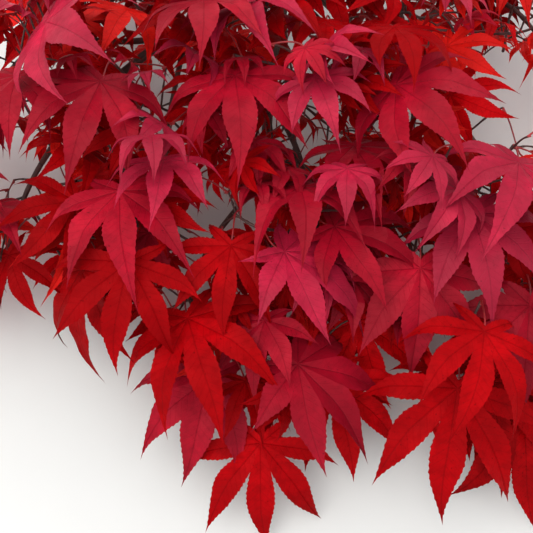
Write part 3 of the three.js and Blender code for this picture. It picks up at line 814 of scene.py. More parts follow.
    def grow_fine_twigs(self, mass):
        random = seeded(500 + 17 * mass.index)
        for twig in list(mass.twigs):
            for at in FINE_ROOTS:
                root = twig.path.point(at)
                tangent = twig.path.way(at)
                chance = unit(vec(random(-1, 1), random(-1, 1), random(-1, 1)))
                across = unit(cross(tangent, chance))
                for side in (1, -1):
                    way = unit(tangent * 0.5 + across * 0.85 * side)
                    end = root + way * FINE_TWIG_LENGTH * random(*FINE_TWIG_RANGE)
                    path = bent_path(root, way, end, unit(way + DOWN * 0.3))
                    shape = tested_rod(path, FINE_ROOT_RADIUS, FINE_TIP_RADIUS, 2, 3)
                    if not self.in_reach(shape.points) or not self.clear(shape, mass.own):
                        continue
                    level = unit(cross(way, OUT if random(0, 1) < 0.5 else DOWN))
                    ways = [unit(tangent * 0.5 + level * 0.8 * hand) for hand in (1, -1)]
                    hung = [self.hang_fine_leaf(mass, end, leaf_way, random) for leaf_way in ways]
                    if any(hung):
                        mass.fine_twigs.append(Twig(path, FINE_ROOT_RADIUS, FINE_TIP_RADIUS))
                        self.keep(mass.own[0], shape)

    def hang_fine_leaf(self, mass, root, way, random):
        high = clamp((root[1] - FINE_HIGH) / FINE_HIGH_SPAN)
        for i in range(FINE_TRIES):
            length = LEAF_LENGTH * FINE_LEAF_SHARE * random(*FINE_LEAF_RANGE) * (1 - TRY_SHRINK * i)
            length *= 1 - FINE_HIGH_SHRINK * high
            leaf = self.drawn_leaf(root, way, random, length, STALK_LENGTH * random(*FINE_STALK_RANGE))
            angle = math.radians(FINE_HIGH_TIP * high * random(*FINE_TIP_RANGE))
            leaf = leaf._replace(ways=tipped(leaf.ways, angle))
            if not self.in_reach(blade_points(leaf, 0)) or not self.shows(leaf):
                continue
            core = leaf._replace(length=length * FINE_SHRINK)
            if not self.clear(tested_blade(core, 0)):
                continue
            if self.clear(self.stalk_shape(self.stalk_path(root, leaf)), mass.own):
                self.add_leaf(mass, root, leaf, fine=True)
                return True
        return False


@lru_cache
def grown_branch():
    return Branch()


# Settings that a user would change


def colour_setting(name, description, *default):
    return FloatVectorProperty(name=name, description=description, subtype="COLOR", default=default)


class MaplePlantSettings(bpy.types.PropertyGroup):
    """Sizes and finishes of the branch itself."""

    source_teeth: IntProperty(
        name="Teeth",
        description="Teeth along one side of a long lobe, on the leaves that the source has too",
        default=13,
        min=4,
        max=30,
    )
    fine_teeth: IntProperty(
        name="Teeth of small leaves",
        description="Teeth along one side of a long lobe, on the leaves of the finer twigs",
        default=7,
        min=3,
        max=20,
    )
    blade_half: FloatProperty(
        name="Blade half thickness",
        description="Half the thickness of a blade at a rib",
        default=0.0003,
        unit="LENGTH",
        precision=5,
    )
    fold: FloatProperty(
        name="Lobe fold",
        description="How far the two halves of a lobe fold up along its rib",
        default=math.radians(13),
        subtype="ANGLE",
    )
    stalk_radius: FloatProperty(
        name="Stalk radius",
        description="Radius of a leaf stalk halfway along",
        default=0.00055,
        unit="LENGTH",
        precision=5,
    )
    crimson: colour_setting("Crimson", "Blades that hang upright", 0.33, 0.0006, 0.0022)
    maroon: colour_setting("Maroon", "Darker blades among the crimson", 0.27, 0.0006, 0.0018)
    # Painted reflection: rose and ruby are the blade's red with a painted sheen of the sky on it.
    rose: colour_setting("Rose", "Blades that face the sky", 0.39, 0.0078, 0.033)
    ruby: colour_setting("Ruby", "Blades that half face the sky", 0.32, 0.0024, 0.0135)
    # Painted light: scarlet is the red of a blade with light shining through it from behind.
    scarlet: colour_setting("Scarlet", "Blades with light behind them", 0.6, 0.007, 0.005)
    stalk: colour_setting("Stalk", "Leaf stalks and buds", 0.3, 0.012, 0.014)
    young_bark: colour_setting("Young bark", "Twigs, shoots and thin limbs", 0.06, 0.02, 0.016)
    bark: colour_setting("Bark", "Boughs and limbs", 0.075, 0.052, 0.042)
    pale_bark: colour_setting("Pale bark", "Ridges of the bark", 0.2, 0.165, 0.135)
    cut_wood: colour_setting("Cut wood", "The fresh cut face", 0.66, 0.47, 0.29)
    relief: FloatProperty(
        name="Bark relief",
        description="Height of the ridges, as a share of the bough's radius",
        default=0.05,
        subtype="FACTOR",
    )


class MapleStageSettings(bpy.types.PropertyGroup):
    """Floor, lights and camera."""

    floor: colour_setting("Floor", "Colour of the floor", 0.66, 0.65, 0.62)
    sky_power: FloatProperty(
        name="Sky light", description="Large soft light beyond the cut end", default=13, unit="POWER"
    )
    front_power: FloatProperty(
        name="Front light", description="Soft light above the camera", default=21, unit="POWER"
    )
    room: FloatProperty(name="Room light", description="Strength of the even light", default=1.24, min=0)
    focal: FloatProperty(
        name="Focal length", description="Of a camera with a 36 mm sensor", default=52.0, unit="CAMERA"
    )


# Materials


class Wire:
    """A socket that gives a value, for use in a Python expression."""

    def __init__(self, recipe, socket):
        self.recipe = recipe
        self.socket = socket

    def maths(self, operation, *values):
        sockets = dict(enumerate(values))
        return self.recipe.node("ShaderNodeMath", {"operation": operation}, sockets)

    def __add__(self, other):
        return self.maths("ADD", self, other)

    def __radd__(self, other):
        return self.maths("ADD", other, self)

    def __sub__(self, other):
        return self.maths("SUBTRACT", self, other)

    def __rsub__(self, other):
        return self.maths("SUBTRACT", other, self)

    def __mul__(self, other):
        return self.maths("MULTIPLY", self, other)

    def __rmul__(self, other):
        return self.maths("MULTIPLY", other, self)

    def __abs__(self):
        return self.maths("ABSOLUTE", self)

    def fraction(self):
        return self.maths("FRACT", self)


# The Mix node's sockets for colours, by number, because its kinds share their names
MIX_FACTOR, MIX_FIRST, MIX_SECOND, MIX_RESULT = 0, 6, 7, 2


class Recipe:
    """One material, made node by node."""

    def __init__(self, name):
        self.material = bpy.data.materials.new(name)
        self.material.use_nodes = True
        self.tree = self.material.node_tree
        self.tree.nodes.clear()

    def node(self, kind, settings=None, sockets=None, output=0):
        """Adds a node: its settings first, then the values or links of its sockets."""
        made = self.tree.nodes.new(kind)
        for key, value in (settings or {}).items():
            setattr(made, key, value)
        for key, value in (sockets or {}).items():
            if isinstance(value, Wire):
                self.tree.links.new(value.socket, made.inputs[key])
            else:
                made.inputs[key].default_value = value
        return Wire(self, made.outputs[output]) if made.outputs else made

    def place(self):
        return self.node("ShaderNodeTexCoord", output="Object")

    def noise(self, vector, scale, detail=3.0, roughness=0.55):
        sockets = {"Vector": vector, "Scale": scale, "Detail": detail, "Roughness": roughness}
        return self.node("ShaderNodeTexNoise", None, sockets, "Fac")

    def between(self, value, low, high, start=0.0, end=1.0):
        """Smooth step of a value from one number to another."""
        limits = {"From Min": low, "From Max": high, "To Min": start, "To Max": end}
        settings = {"interpolation_type": "SMOOTHSTEP"}
        return self.node("ShaderNodeMapRange", settings, {"Value": value, **limits})

    def mixed(self, amount, first, second):
        """Colour between two colours. A plain colour is three numbers."""
        sockets = {MIX_FACTOR: amount}
        for key, colour in ((MIX_FIRST, first), (MIX_SECOND, second)):
            sockets[key] = colour if isinstance(colour, Wire) else (*colour, 1)
        return self.node("ShaderNodeMix", {"data_type": "RGBA"}, sockets, MIX_RESULT)

    def bump(self, height, distance, strength=1.0):
        sockets = {"Height": height, "Distance": distance, "Strength": strength}
        return self.node("ShaderNodeBump", None, sockets)

    def finish(self, **sockets):
        """Ends the material in a Principled shader, whose sockets are named with underscores."""
        named = {key.replace("_", " "): value for key, value in sockets.items()}
        shader = self.node("ShaderNodeBsdfPrincipled", None, named)
        self.node("ShaderNodeOutputMaterial", None, {"Surface": shader})
        return self.material


def shade(colour, amount):
    return tuple(min(1.0, amount * channel) for channel in colour)


def leaf_finish(name, colour, gloss):
    """Satin blade with darker ribs, side veins, mottling and a tone for each leaf, partly chance
    and partly painted light that lightens the deeper blades.
    """
    recipe = Recipe(name)
    veins = {"Vector": recipe.node("ShaderNodeUVMap", {"uv_map": "veins"})}
    along = recipe.node("ShaderNodeSeparateXYZ", None, veins, "X")
    across = recipe.node("ShaderNodeSeparateXYZ", None, veins, "Y")
    tone = recipe.node("ShaderNodeAttribute", {"attribute_name": "tone"}, None, "Fac")
    place = recipe.place()
    rib = recipe.between(across, 0.002, 0.008, 1.0, 0.0)
    step = ((along - across * 0.85) * 15.0).fraction()
    reach = recipe.between(across, 0.09, 0.13, 1.0, 0.25)
    side = recipe.between(abs(step - 0.5), 0.0, 0.11, 1.0, 0.0) * reach
    mottle = recipe.noise(place, 150.0, 5.0, 0.65)
    cloud = recipe.noise(place, 30.0, 2.0)
    hub = recipe.between(along, 0.05, 0.9, 0.1, -0.08)
    # Painted light: the tone lightens deeper blades, for light coming through them.
    lightness = recipe.between(tone + hub + (cloud - 0.5) * 0.9, 0.0, 1.0)
    body = recipe.mixed(lightness, shade(colour, 0.72), shade(colour, 2.1))
    body = recipe.mixed(recipe.between(mottle, 0.4, 0.72, 0.0, 0.5), body, shade(colour, 0.55))
    specks = recipe.between(recipe.noise(place, 520.0, 1.0), 0.71, 0.76)
    body = recipe.mixed(specks * 0.6, body, shade(colour, 0.3))
    body = recipe.mixed(side * 0.24, body, shade(colour, 0.55))
    body = recipe.mixed(rib * 0.34, body, shade(colour, 0.42))
    height = rib * -1.0 + side * -0.5 + mottle * 0.8 + recipe.noise(place, 900.0, 2.0) * 0.3
    return recipe.finish(
        Base_Color=body,
        Roughness=recipe.between(mottle, 0.3, 0.7, 0.44, 0.56),
        Specular_IOR_Level=gloss,
        Normal=recipe.bump(height, 0.00025, 0.7),
    )


def stalk_finish(name, colour):
    recipe = Recipe(name)
    place = recipe.place()
    patch = recipe.noise(place, 160.0)
    body = recipe.mixed(recipe.between(patch, 0.35, 0.7), shade(colour, 0.7), shade(colour, 1.3))
    return recipe.finish(
        Base_Color=body,
        Roughness=0.42,
        Normal=recipe.bump(recipe.noise(place, 1400.0, 2.0), 0.0001, 0.5),
    )


def young_bark_finish(name, colour):
    """Smooth dark bark of a twig with small pale pores."""
    recipe = Recipe(name)
    place = recipe.place()
    patch = recipe.noise(place, 120.0)
    pores = recipe.between(recipe.noise(place, 1500.0, 1.0), 0.66, 0.72)
    body = recipe.mixed(recipe.between(patch, 0.35, 0.7), shade(colour, 0.7), shade(colour, 1.5))
    body = recipe.mixed(pores * 0.5, body, shade(colour, 4.0))
    height = pores + recipe.noise(place, 700.0, 3.0) * 0.6
    return recipe.finish(Base_Color=body, Roughness=0.6, Normal=recipe.bump(height, 0.0002, 0.7))


def bark_finish(name, colour, pale, young):
    """Bark of a bough: fine ridges, pale pores and worn patches, on smooth young bark."""
    recipe = Recipe(name)
    coords = recipe.node("ShaderNodeUVMap", {"uv_map": "bark"})
    ridged = recipe.node("ShaderNodeMapping", None, {"Vector": coords, "Scale": (70.0, 520.0, 1.0)})
    ridges = recipe.noise(ridged, 1.0, 5.0, 0.6)
    flat = recipe.node("ShaderNodeMapping", None, {"Vector": coords, "Scale": (900.0, 190.0, 1.0)})
    pores = recipe.between(recipe.noise(flat, 1.0, 1.0), 0.68, 0.74)
    place = recipe.place()
    patch = recipe.noise(place, 26.0, 4.0)
    body = recipe.mixed(recipe.between(ridges, 0.4, 0.66), colour, pale)
    body = recipe.mixed(recipe.between(patch, 0.45, 0.7, 0.0, 0.55), body, shade(pale, 0.7))
    girth = recipe.node("ShaderNodeAttribute", {"attribute_name": "girth"}, None, "Fac")
    body = recipe.mixed(recipe.between(girth, 0.22, 0.62), shade(young, 1.5), body)
    body = recipe.mixed(pores * 0.7, body, shade(pale, 1.9))
    height = ridges + pores * 0.6 + recipe.noise(place, 800.0, 3.0) * 0.25
    return recipe.finish(
        Base_Color=body,
        Roughness=recipe.between(ridges, 0.3, 0.7, 0.72, 0.9),
        Normal=recipe.bump(height, 0.0006, 0.8),
    )


def cut_finish(name, colour):
    """Fresh cut wood: yearly rings round a dark pith, with a fine grain."""
    recipe = Recipe(name)
    coords = recipe.node("ShaderNodeUVMap", {"uv_map": "bark"})
    wobble = recipe.noise(coords, 300.0, 2.0)
    radius = recipe.node("ShaderNodeVectorMath", {"operation": "LENGTH"}, {0: coords}, "Value")
    rings = ((radius + wobble * 0.0006) * 1100.0).fraction()
    late = recipe.between(rings, 0.55, 0.95)
    pith = recipe.between(radius, 0.0004, 0.0008, 1.0, 0.0)
    body = recipe.mixed(late * 0.55, colour, shade(colour, 0.5))
    grain = recipe.between(recipe.noise(coords, 2500.0, 2.0), 0.4, 0.7, 0.0, 0.25)
    body = recipe.mixed(grain, body, shade(colour, 0.7))
    body = recipe.mixed(pith, body, shade(colour, 0.2))
    return recipe.finish(Base_Color=body, Roughness=0.75, Normal=recipe.bump(late, 0.0001, 0.6))


def floor_finish(name, colour):
    recipe = Recipe(name)
    grain = recipe.noise(recipe.place(), 30.0, 4.0)
    body = recipe.mixed(grain, shade(colour, 0.985), shade(colour, 1.015))
    return recipe.finish(Base_Color=body, Roughness=0.9)


# How strongly the blades of each tint shine
GLOSS = {"crimson": 0.03, "maroon": 0.03, "rose": 0.14, "ruby": 0.09, "scarlet": 0.05}


@lru_cache
def finish_of(name):
    """The branch's materials by name, each made once."""
    plant = bpy.context.scene.maple_plant
    tint = name.removeprefix("leaf_")
    if tint in GLOSS:
        return leaf_finish(name, getattr(plant, tint), GLOSS[tint])
    makers = {
        "stalk": lambda n: stalk_finish(n, plant.stalk),
        "young_bark": lambda n: young_bark_finish(n, plant.young_bark),
        "bark": lambda n: bark_finish(n, plant.bark, plant.pale_bark, plant.young_bark),
        "cut_wood": lambda n: cut_finish(n, plant.cut_wood),
    }
    return makers[name](name)


# Pieces


def arrays_of(bm):
    """The points and faces of a mesh that is then done with."""
    bm.verts.index_update()
    points = np.array([vert.co for vert in bm.verts])
    faces = np.array([[vert.index for vert in face.verts] for face in bm.faces])
    bm.free()
    return points, faces


def add_piece(name, mesh, finishes, slot, stands_for):
    """A finished mesh as a piece of the branch, riding on its one body."""
    piece = bpy.data.objects.new(name, mesh)
    bpy.context.collection.objects.link(piece)
    for finish in finishes:
        mesh.materials.append(finish_of(finish))
    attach(piece, BODY)
    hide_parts(*stands_for)
    return piece


def joined_mesh(name, parts, crease):
    """One mesh from many copies: each part has points, faces, veins and a tone for each face,
    the tone partly painted light.
    """
    counts = [len(part[0]) for part in parts]
    starts = np.concatenate(([0], np.cumsum(counts)[:-1]))
    points = rested(laid(np.concatenate([part[0] for part in parts])))
    faces = np.concatenate([part[1] + start for part, start in zip(parts, starts)])
    mesh = bpy.data.meshes.new(name)
    mesh.from_pydata(points, [], faces)
    if parts[0][2] is not None:
        veins = np.concatenate([part[2] for part in parts])
        mesh.uv_layers.new(name="veins").data.foreach_set("uv", veins[faces.ravel()].ravel())
        tones_and_glow = np.concatenate([part[3] for part in parts])
        mesh.attributes.new("tone", "FLOAT", "FACE").data.foreach_set("value", tones_and_glow)
    mesh.shade_smooth()
    mesh.set_sharp_from_angle(angle=crease)
    mesh.update()
    return mesh


# Leaves: those of the source have finer teeth and more bends than the fine ones

LeafForm = namedtuple("LeafForm", "points faces veins under")

# How a blade is cut: the half width of a lobe, how far up the lobe it is widest,
# and how deep the notches are, where 1 is the depth in the source.
BladeCut = namedtuple("BladeCut", "width widest notch")
BROAD_CUT = (BladeCut(0.134, 0.32, 0.94), BladeCut(0.152, 0.4, 1.04))
DEEP_CUT = (BladeCut(0.112, 0.36, 0.7), BladeCut(0.13, 0.44, 0.86))
SOURCE_BENDS = (0.1, 0.3, 0.52, 0.73, 0.9)  # where a lobe can bend, past its notch
FINE_BENDS = (0.2, 0.5, 0.8)
TEETH_FROM = 0.04  # where a lobe's teeth begin, and how much of the lobe has them
TEETH_SPAN = 0.86
TOOTH_POINT = 0.62  # how far along a tooth its point is
TOOTH_DEPTH = 0.0095
PALM = 0.3  # no bend of a lobe's own begins nearer the hub
LOOSE_FROM = 0.09  # how far past the palm a lobe starts to twist and ripple
LATE = 0.62  # how far along a lobe its tip starts to curl
CURL_LINE = 0.12  # how wide of the rib the line runs along which a lobe can curl
RIPPLE, RIPPLE_TURN = 0.09, 24  # how high the ripples of a lobe are, and how close
SAME_CORNER = 1e-4
SAME_PLACE = 1e-6
DRIP = 1.9  # how finely a lobe runs out


def margin_of(lobe, cut, notch_turn, notch_reach, teeth):
    """Toothed edge of one side of a lobe, from its notch to its tip.

    Each corner is its place along and across, and its share of the blade's thickness.
    """
    x0 = cut.notch * notch_reach * math.cos(notch_turn)
    y0 = cut.notch * notch_reach * math.sin(notch_turn)
    m = cut.widest
    rise = DRIP * m / (1 - m)
    swell = cut.width * lobe.reach - y0 * (1 - m) ** 3

    def edge(b):
        flank = y0 * (1 - b) ** 3 + swell * (b / m) ** rise * ((1 - b) / (1 - m)) ** DRIP
        return x0 + (lobe.reach - x0) * b, flank

    count = max(3, round(teeth * (lobe.reach - x0) / 0.68))
    corners = [(*edge(0), 0.6)]
    for k in range(count):
        b = TEETH_FROM + TEETH_SPAN * k / count
        depth = TOOTH_DEPTH * (1 - 0.55 * b) * (1.2 if k % 2 else 0.8)
        x, y = edge(b + TEETH_SPAN * TOOTH_POINT / count)
        corners.append((x + 0.3 * depth, y + depth, 0))
        corners.append((*edge(b + TEETH_SPAN / count), 0.4))
    corners.append((lobe.reach, 0, 0))
    return corners


def half_lobe(bm, thick, lobe, cut, side, notch_turn, notch_reach, teeth, bends, start):
    """One side of a lobe as flat faces with lines across where it can bend, past its start.

    A lobe with many bends also gets a line along its outer part, where it can curl.
    """
    corners = [(0, 0, 1), *reversed(margin_of(lobe, cut, notch_turn, notch_reach, teeth))]
    if side < 0:
        corners.reverse()
    verts = []
    for x, y, share in corners:
        vert = bm.verts.new((x, side * y, 0))
        vert[thick] = share
        verts.append(vert)
    face = bm.faces.new(verts)
    whole = [face, *face.edges, *face.verts]
    free = lobe.reach - start
    for b in bends:
        whole = bmesh.ops.bisect_plane(
            bm, geom=whole, dist=SAME_PLACE, plane_co=(start + free * b, 0, 0), plane_no=(1, 0, 0)
        )["geom"]
    if bends is SOURCE_BENDS:
        faces = [item for item in whole if isinstance(item, bmesh.types.BMFace)]
        faces = [face for face in faces if face.calc_center_median().x > start + bends[0] * free]
        edges = {edge for face in faces for edge in face.edges}
        outer = [*faces, *edges, *{vert for edge in edges for vert in edge.verts}]
        slope = side * CURL_LINE * lobe.reach / free
        whole += bmesh.ops.bisect_plane(
            bm, geom=outer, dist=SAME_PLACE, plane_co=(lobe.reach, 0, 0), plane_no=(slope, 1, 0)
        )["geom"]
    return {item for item in whole if item.is_valid and isinstance(item, bmesh.types.BMVert)}


def close_blade(bm, thick, half):
    """Gives a one-sided blade its other side and thin walls that run out at the teeth."""
    made = bmesh.ops.extrude_face_region(bm, geom=bm.faces[:] + bm.edges[:], use_keep_orig=True)
    below = {item for item in made["geom"] if isinstance(item, bmesh.types.BMVert)}
    for vert in bm.verts:
        vert.co.z += half * vert[thick] * (-1 if vert in below else 1)
    bmesh.ops.remove_doubles(bm, verts=bm.verts[:], dist=SAME_PLACE)
    bmesh.ops.triangulate(bm, faces=bm.faces[:])
    bmesh.ops.recalc_face_normals(bm, faces=bm.faces[:])


def leaf_form(seed, cuts, teeth, bends, fold, half, droop):
    """A blade of length one as a closed thin mesh, with bends of its own."""
    random = seeded(seed)
    bm = bmesh.new()
    along = bm.verts.layers.float.new("along")
    across = bm.verts.layers.float.new("across")
    thick = bm.verts.layers.float.new("thick")
    cut = BladeCut(*(random(low, high) for low, high in zip(*cuts)))
    for i, lobe in enumerate(LOBES):
        sag = random(-0.3, 0.14) - droop
        bow = random(-0.16, 0.16) - 0.4 * math.sin(math.radians(lobe.turn))
        twist = random(-0.5, 0.5)
        extra_fold = random(-0.25, 0.3)
        ripple = random(0, 6.3)
        curl = random(-1.5, 0.3)
        hook = random(-0.7, 0.7)
        notches = {}
        for side, other in ((-1, i - 1), (1, i + 1)):
            if 0 <= other < len(LOBES):
                angle, reach = abs(LOBES[other].turn - lobe.turn) / 2, NOTCHES[min(i, other)]
            else:
                angle, reach = 180 - abs(lobe.turn), SINUS
            notches[side] = (math.radians(angle), reach)
        start = max(cut.notch * reach * math.cos(angle) for angle, reach in notches.values())
        lobe_verts = set()
        for side, notch in notches.items():
            lobe_verts |= half_lobe(bm, thick, lobe, cut, side, *notch, teeth, bends, start)
        turn = math.radians(lobe.turn)
        for vert in lobe_verts:
            x, y, _ = vert.co
            far = math.hypot(x, y)
            free = max(0.0, x - PALM)
            loose = clamp(4 * (far - PALM - LOOSE_FROM))
            w = -BLADE_DROOP * far * far + math.tan(fold) * abs(y)
            w += loose * (sag * free * free + twist * y * free + extra_fold * abs(y))
            w += loose * RIPPLE * abs(y) * math.sin(RIPPLE_TURN * x + ripple)
            late = max(0.0, x / lobe.reach - LATE)
            w += curl * late * late
            shifted = y + loose * bow * free * free + hook * late * late
            vert[along] = x
            vert[across] = abs(y)
            vert.co = (
                x * math.cos(turn) - shifted * math.sin(turn),
                x * math.sin(turn) + shifted * math.cos(turn),
                w,
            )
    bmesh.ops.remove_doubles(bm, verts=bm.verts[:], dist=SAME_CORNER)
    bmesh.ops.triangulate(bm, faces=bm.faces[:])
    close_blade(bm, thick, half)
    veins = np.array([(vert[along], vert[across]) for vert in bm.verts])
    under = np.array([face.normal.z < 0 for face in bm.faces])
    return LeafForm(*arrays_of(bm), veins, under)


FORMS = 10
MOST_DROOP = 0.6  # of the lobes of a blade that lies level


@lru_cache
def leaf_forms(source, broad):
    """The different blades of one kind, each drooping more than the last, for leaves that
    lie more level."""
    plant = bpy.context.scene.maple_plant
    cuts = BROAD_CUT if broad else DEEP_CUT
    teeth, bends = (plant.source_teeth, SOURCE_BENDS) if source else (plant.fine_teeth, FINE_BENDS)
    half = plant.blade_half * 1000 / LEAF_LENGTH
    first = 900 + 20 * source + 10 * broad
    return [
        leaf_form(first + k, cuts, teeth, bends, plant.fold, half, MOST_DROOP * k / (FORMS - 1))
        for k in range(FORMS)
    ]


def leaf_part(leaf, form, tone):
    points = leaf.hub + leaf.length * form.points @ leaf.ways
    tones_and_glow = np.where(form.under, tone - UNDER_DARKER, tone)
    return points, form.faces, form.veins, tones_and_glow


# How open to the sky a blade is before it takes the painted rose sheen of the sky, and how
# much its depth counts towards that, from the depth where it counts for nothing.
ROSE_FROM = 0.6
RUBY_BAND = 0.25
SKY_BY_DEPTH = 0.012
LEVEL_DEPTH = 30
# Depths behind which a leaf may take the painted scarlet of light behind it, takes it more
# often, and is seldom maroon.
LIT_DEPTH, MORE_LIT_DEPTH, SHADE_DEPTH = 14, -12, -20
# The tints of the sighted leaves, in the order of their rows in each mass; rose and ruby
# are painted sky sheen, scarlet painted light from behind.
SIGHTED_TINTS = {
    "tip": ("crimson", "ruby", "crimson"),
    "low_left": ("ruby", "crimson"),
    "middle": ("rose", "ruby", "crimson"),
    "upper": ("rose", "ruby", "ruby"),
    "crest": ("ruby", "rose"),
    "far_left": ("crimson", "maroon"),
    "left": ("ruby", "maroon", "crimson"),
    "upper_left": ("rose", "ruby"),
    "outer_left": ("ruby", "rose"),
    "far_right": ("rose", "rose", "ruby"),
    "right": ("ruby", "crimson"),
    "low_right": ("crimson", "maroon", "crimson"),
    "outer_right": ("maroon",),
    "upper_right": ("ruby", "crimson"),
    "side_right": ("scarlet",),
}
# The share of a mass's leaves painted scarlet, for light behind them
LIT_MASSES = {"upper_right": 0.55, "right": 0.35, "side_right": 0.45, "crest_right": 0.4}
LIT_ELSEWHERE = 0.12
LIT_MORE = 0.2
SLOTS = {"ruby": "leaf_rose"}  # the slots of the tints that are not slots themselves
# The tone of a blade: the plain one, the painted light that depth adds for light through the
# blades, and where that fades out towards the top. Its under side is darker.
PLAIN_TONE = 0.22
DEEP_GLOW, GLOW_BY_DEPTH, MOST_GLOW = 0.23, 0.011, 0.6
GLOW_TOP, GLOW_FADE = 210, 50
TONE_CHANCE = 0.12
UNDER_DARKER = 0.2
# Above this height the source's leaves turn to the sky, by this angle at most
RAISE_FROM, RAISE_SPAN, MOST_RAISE = 60, 90, 20


def tint_of(mass, row, leaf, random):
    """Which red a leaf has: by how open to the sky it is, how deep it hangs and chance.
    Rose and ruby are a painted sheen of the sky; scarlet is painted light from behind.
    """
    draw = random(0, 1)
    depth = leaf.hub[2]
    sky = leaf.ways[2][1] + SKY_BY_DEPTH * (depth - LEVEL_DEPTH) + random(-0.12, 0.12)
    if leaf.outline is FULL_OUTLINE:
        return SIGHTED_TINTS[mass.spec.name][row]
    lit = LIT_MASSES.get(mass.spec.name, LIT_ELSEWHERE) + (LIT_MORE if depth < MORE_LIT_DEPTH else 0)
    if depth < LIT_DEPTH and draw < lit:
        return "scarlet"
    if sky > ROSE_FROM:
        return "rose" if draw > 0.5 else "ruby"
    if sky > ROSE_FROM - RUBY_BAND and draw > 0.6:
        return "ruby"
    return "maroon" if draw > (0.85 if depth < SHADE_DEPTH else 0.72) else "crimson"


def tone_and_glow_of(leaf):
    """How light a leaf is painted: lighter the deeper it hangs, a painted stand-in for the light
    that comes through it.
    """
    _, up, depth = leaf.hub
    shaded = clamp((GLOW_TOP - up) / GLOW_FADE)
    return PLAIN_TONE + shaded * clamp(DEEP_GLOW - GLOW_BY_DEPTH * depth, 0, MOST_GLOW)


def raised(leaf):
    """A source leaf, turned more to the sky the higher it hangs, about the end of its stalk."""
    high = clamp((leaf.hub[1] - RAISE_FROM) / RAISE_SPAN)
    ways = tipped(leaf.ways, math.radians(MOST_RAISE * high))
    hub = leaf.hub + SINUS * leaf.length * (ways[0] - leaf.ways[0])
    turned = leaf._replace(hub=hub, ways=ways)
    return turned if grown_branch().in_reach(blade_points(turned, 0)) else leaf


def leaves_by_tint():
    """Every leaf of the branch as a placed copy of one of the forms."""
    dealt = {tint: [] for tint in GLOSS}
    for mass in grown_branch().masses:
        random = seeded(7000 + mass.index)
        for source, leaves in ((True, mass.leaves), (False, mass.fine_leaves)):
            for row, leaf in enumerate(leaves):
                # Rose and ruby carry a painted sky sheen, scarlet painted light from behind, and the tone
                # painted light through deeper blades.
                tint = tint_of(mass, row, leaf, random)
                leaf = raised(leaf) if source else leaf
                level = clamp(leaf.ways[2][1] + random(-0.35, 0.2), 0, 0.99)
                form = leaf_forms(source, tint in ("rose", "ruby"))[int(FORMS * level)]
                tone = tone_and_glow_of(leaf) + random(-TONE_CHANCE, TONE_CHANCE)
                dealt[tint].append(leaf_part(leaf, form, tone))
    return dealt


# Stalks, twigs and buds


STALK_SWELL = (1.75, 1.15, 1.0, 0.95, 0.95, 1.0, 1.05, 1.3)  # from the twig to the blade
STALK_SIDES = 6
TWIG_STEPS = 12
TWIG_SIDES = 7
# The swellings of a twig where its pairs of stalks are: where, how long and how big
TWIG_NODES = ((0.5, 0.05, 0.28), (0.97, 0.06, 0.4))
SMOOTH_TURN = math.radians(60)  # thin round pieces are smooth over any lesser turn


def tube(path, radii, sides):
    """A thin round piece whose radius is given at each section."""
    faces = np.array(rod_faces(len(radii) - 1, sides))
    return swept(path, radii, sides), faces, None, None


def stalk_part(path, radius):
    """A stalk, a little thicker where it joins the twig and where it meets the blade."""
    return tube(path, [radius * k for k in STALK_SWELL], STALK_SIDES)


def twig_part(twig, random):
    """A twig with a swelling at each pair of stalks."""
    radii = []
    for i in range(TWIG_STEPS + 1):
        t = i / TWIG_STEPS
        node = sum(big * math.exp(-(((t - at) / long) ** 2)) for at, long, big in TWIG_NODES)
        radii.append(radius_at(twig, t) * (1 + node + random(-0.05, 0.05)))
    return tube(twig.path, radii, TWIG_SIDES)


def bud_form():
    """A pointed bud, one unit long."""
    bm = bmesh.new()
    bmesh.ops.create_uvsphere(bm, u_segments=6, v_segments=5, radius=0.5)
    for vert in bm.verts:
        slim = 0.62 * (1 - 0.5 * max(0.0, vert.co.z))
        vert.co = (vert.co.x * slim, vert.co.y * slim, vert.co.z + 0.5)
    bmesh.ops.triangulate(bm, faces=bm.faces[:])
    return arrays_of(bm)


def bud_parts():
    """A bud in the angle between each stalk and its twig."""
    points, faces = bud_form()
    parts = []
    for mass in grown_branch().masses:
        random = seeded(8000 + mass.index)
        for path in mass.stalks + mass.fine_stalks:
            axis = unit(path.way(0) + DOWN * 0.6 + vec(random(-0.3, 0.3), 0, random(-0.3, 0.3)))
            side = unit(cross(axis, OUT))
            ways = np.array((side, cross(axis, side), axis))
            length = random(1.9, 2.9)
            parts.append((path.point(0) + axis * 0.5 + length * points @ ways, faces, None, None))
    return parts


# Boughs and limbs

BARK_RIM = 0.0011  # thickness of the bark that shows round the cut face
BARK_TURN = math.radians(50)
BOUGH_GRID = {"steps": 110, "sides": 36}
LIMB_GRID = {"steps": 40, "sides": 16}
ROUND = 0.0063  # metres round a limb for each millimetre of its radius
# The swelling where a limb leaves its parent: how much thicker the limb is there,
# from how far out it fades, as a share of the parent's radius, and over what length.
COLLAR_SWELL = 0.5
COLLAR_FROM = 0.8
COLLAR_FADE, COLLAR_FADE_LEAST = 1.2, 2


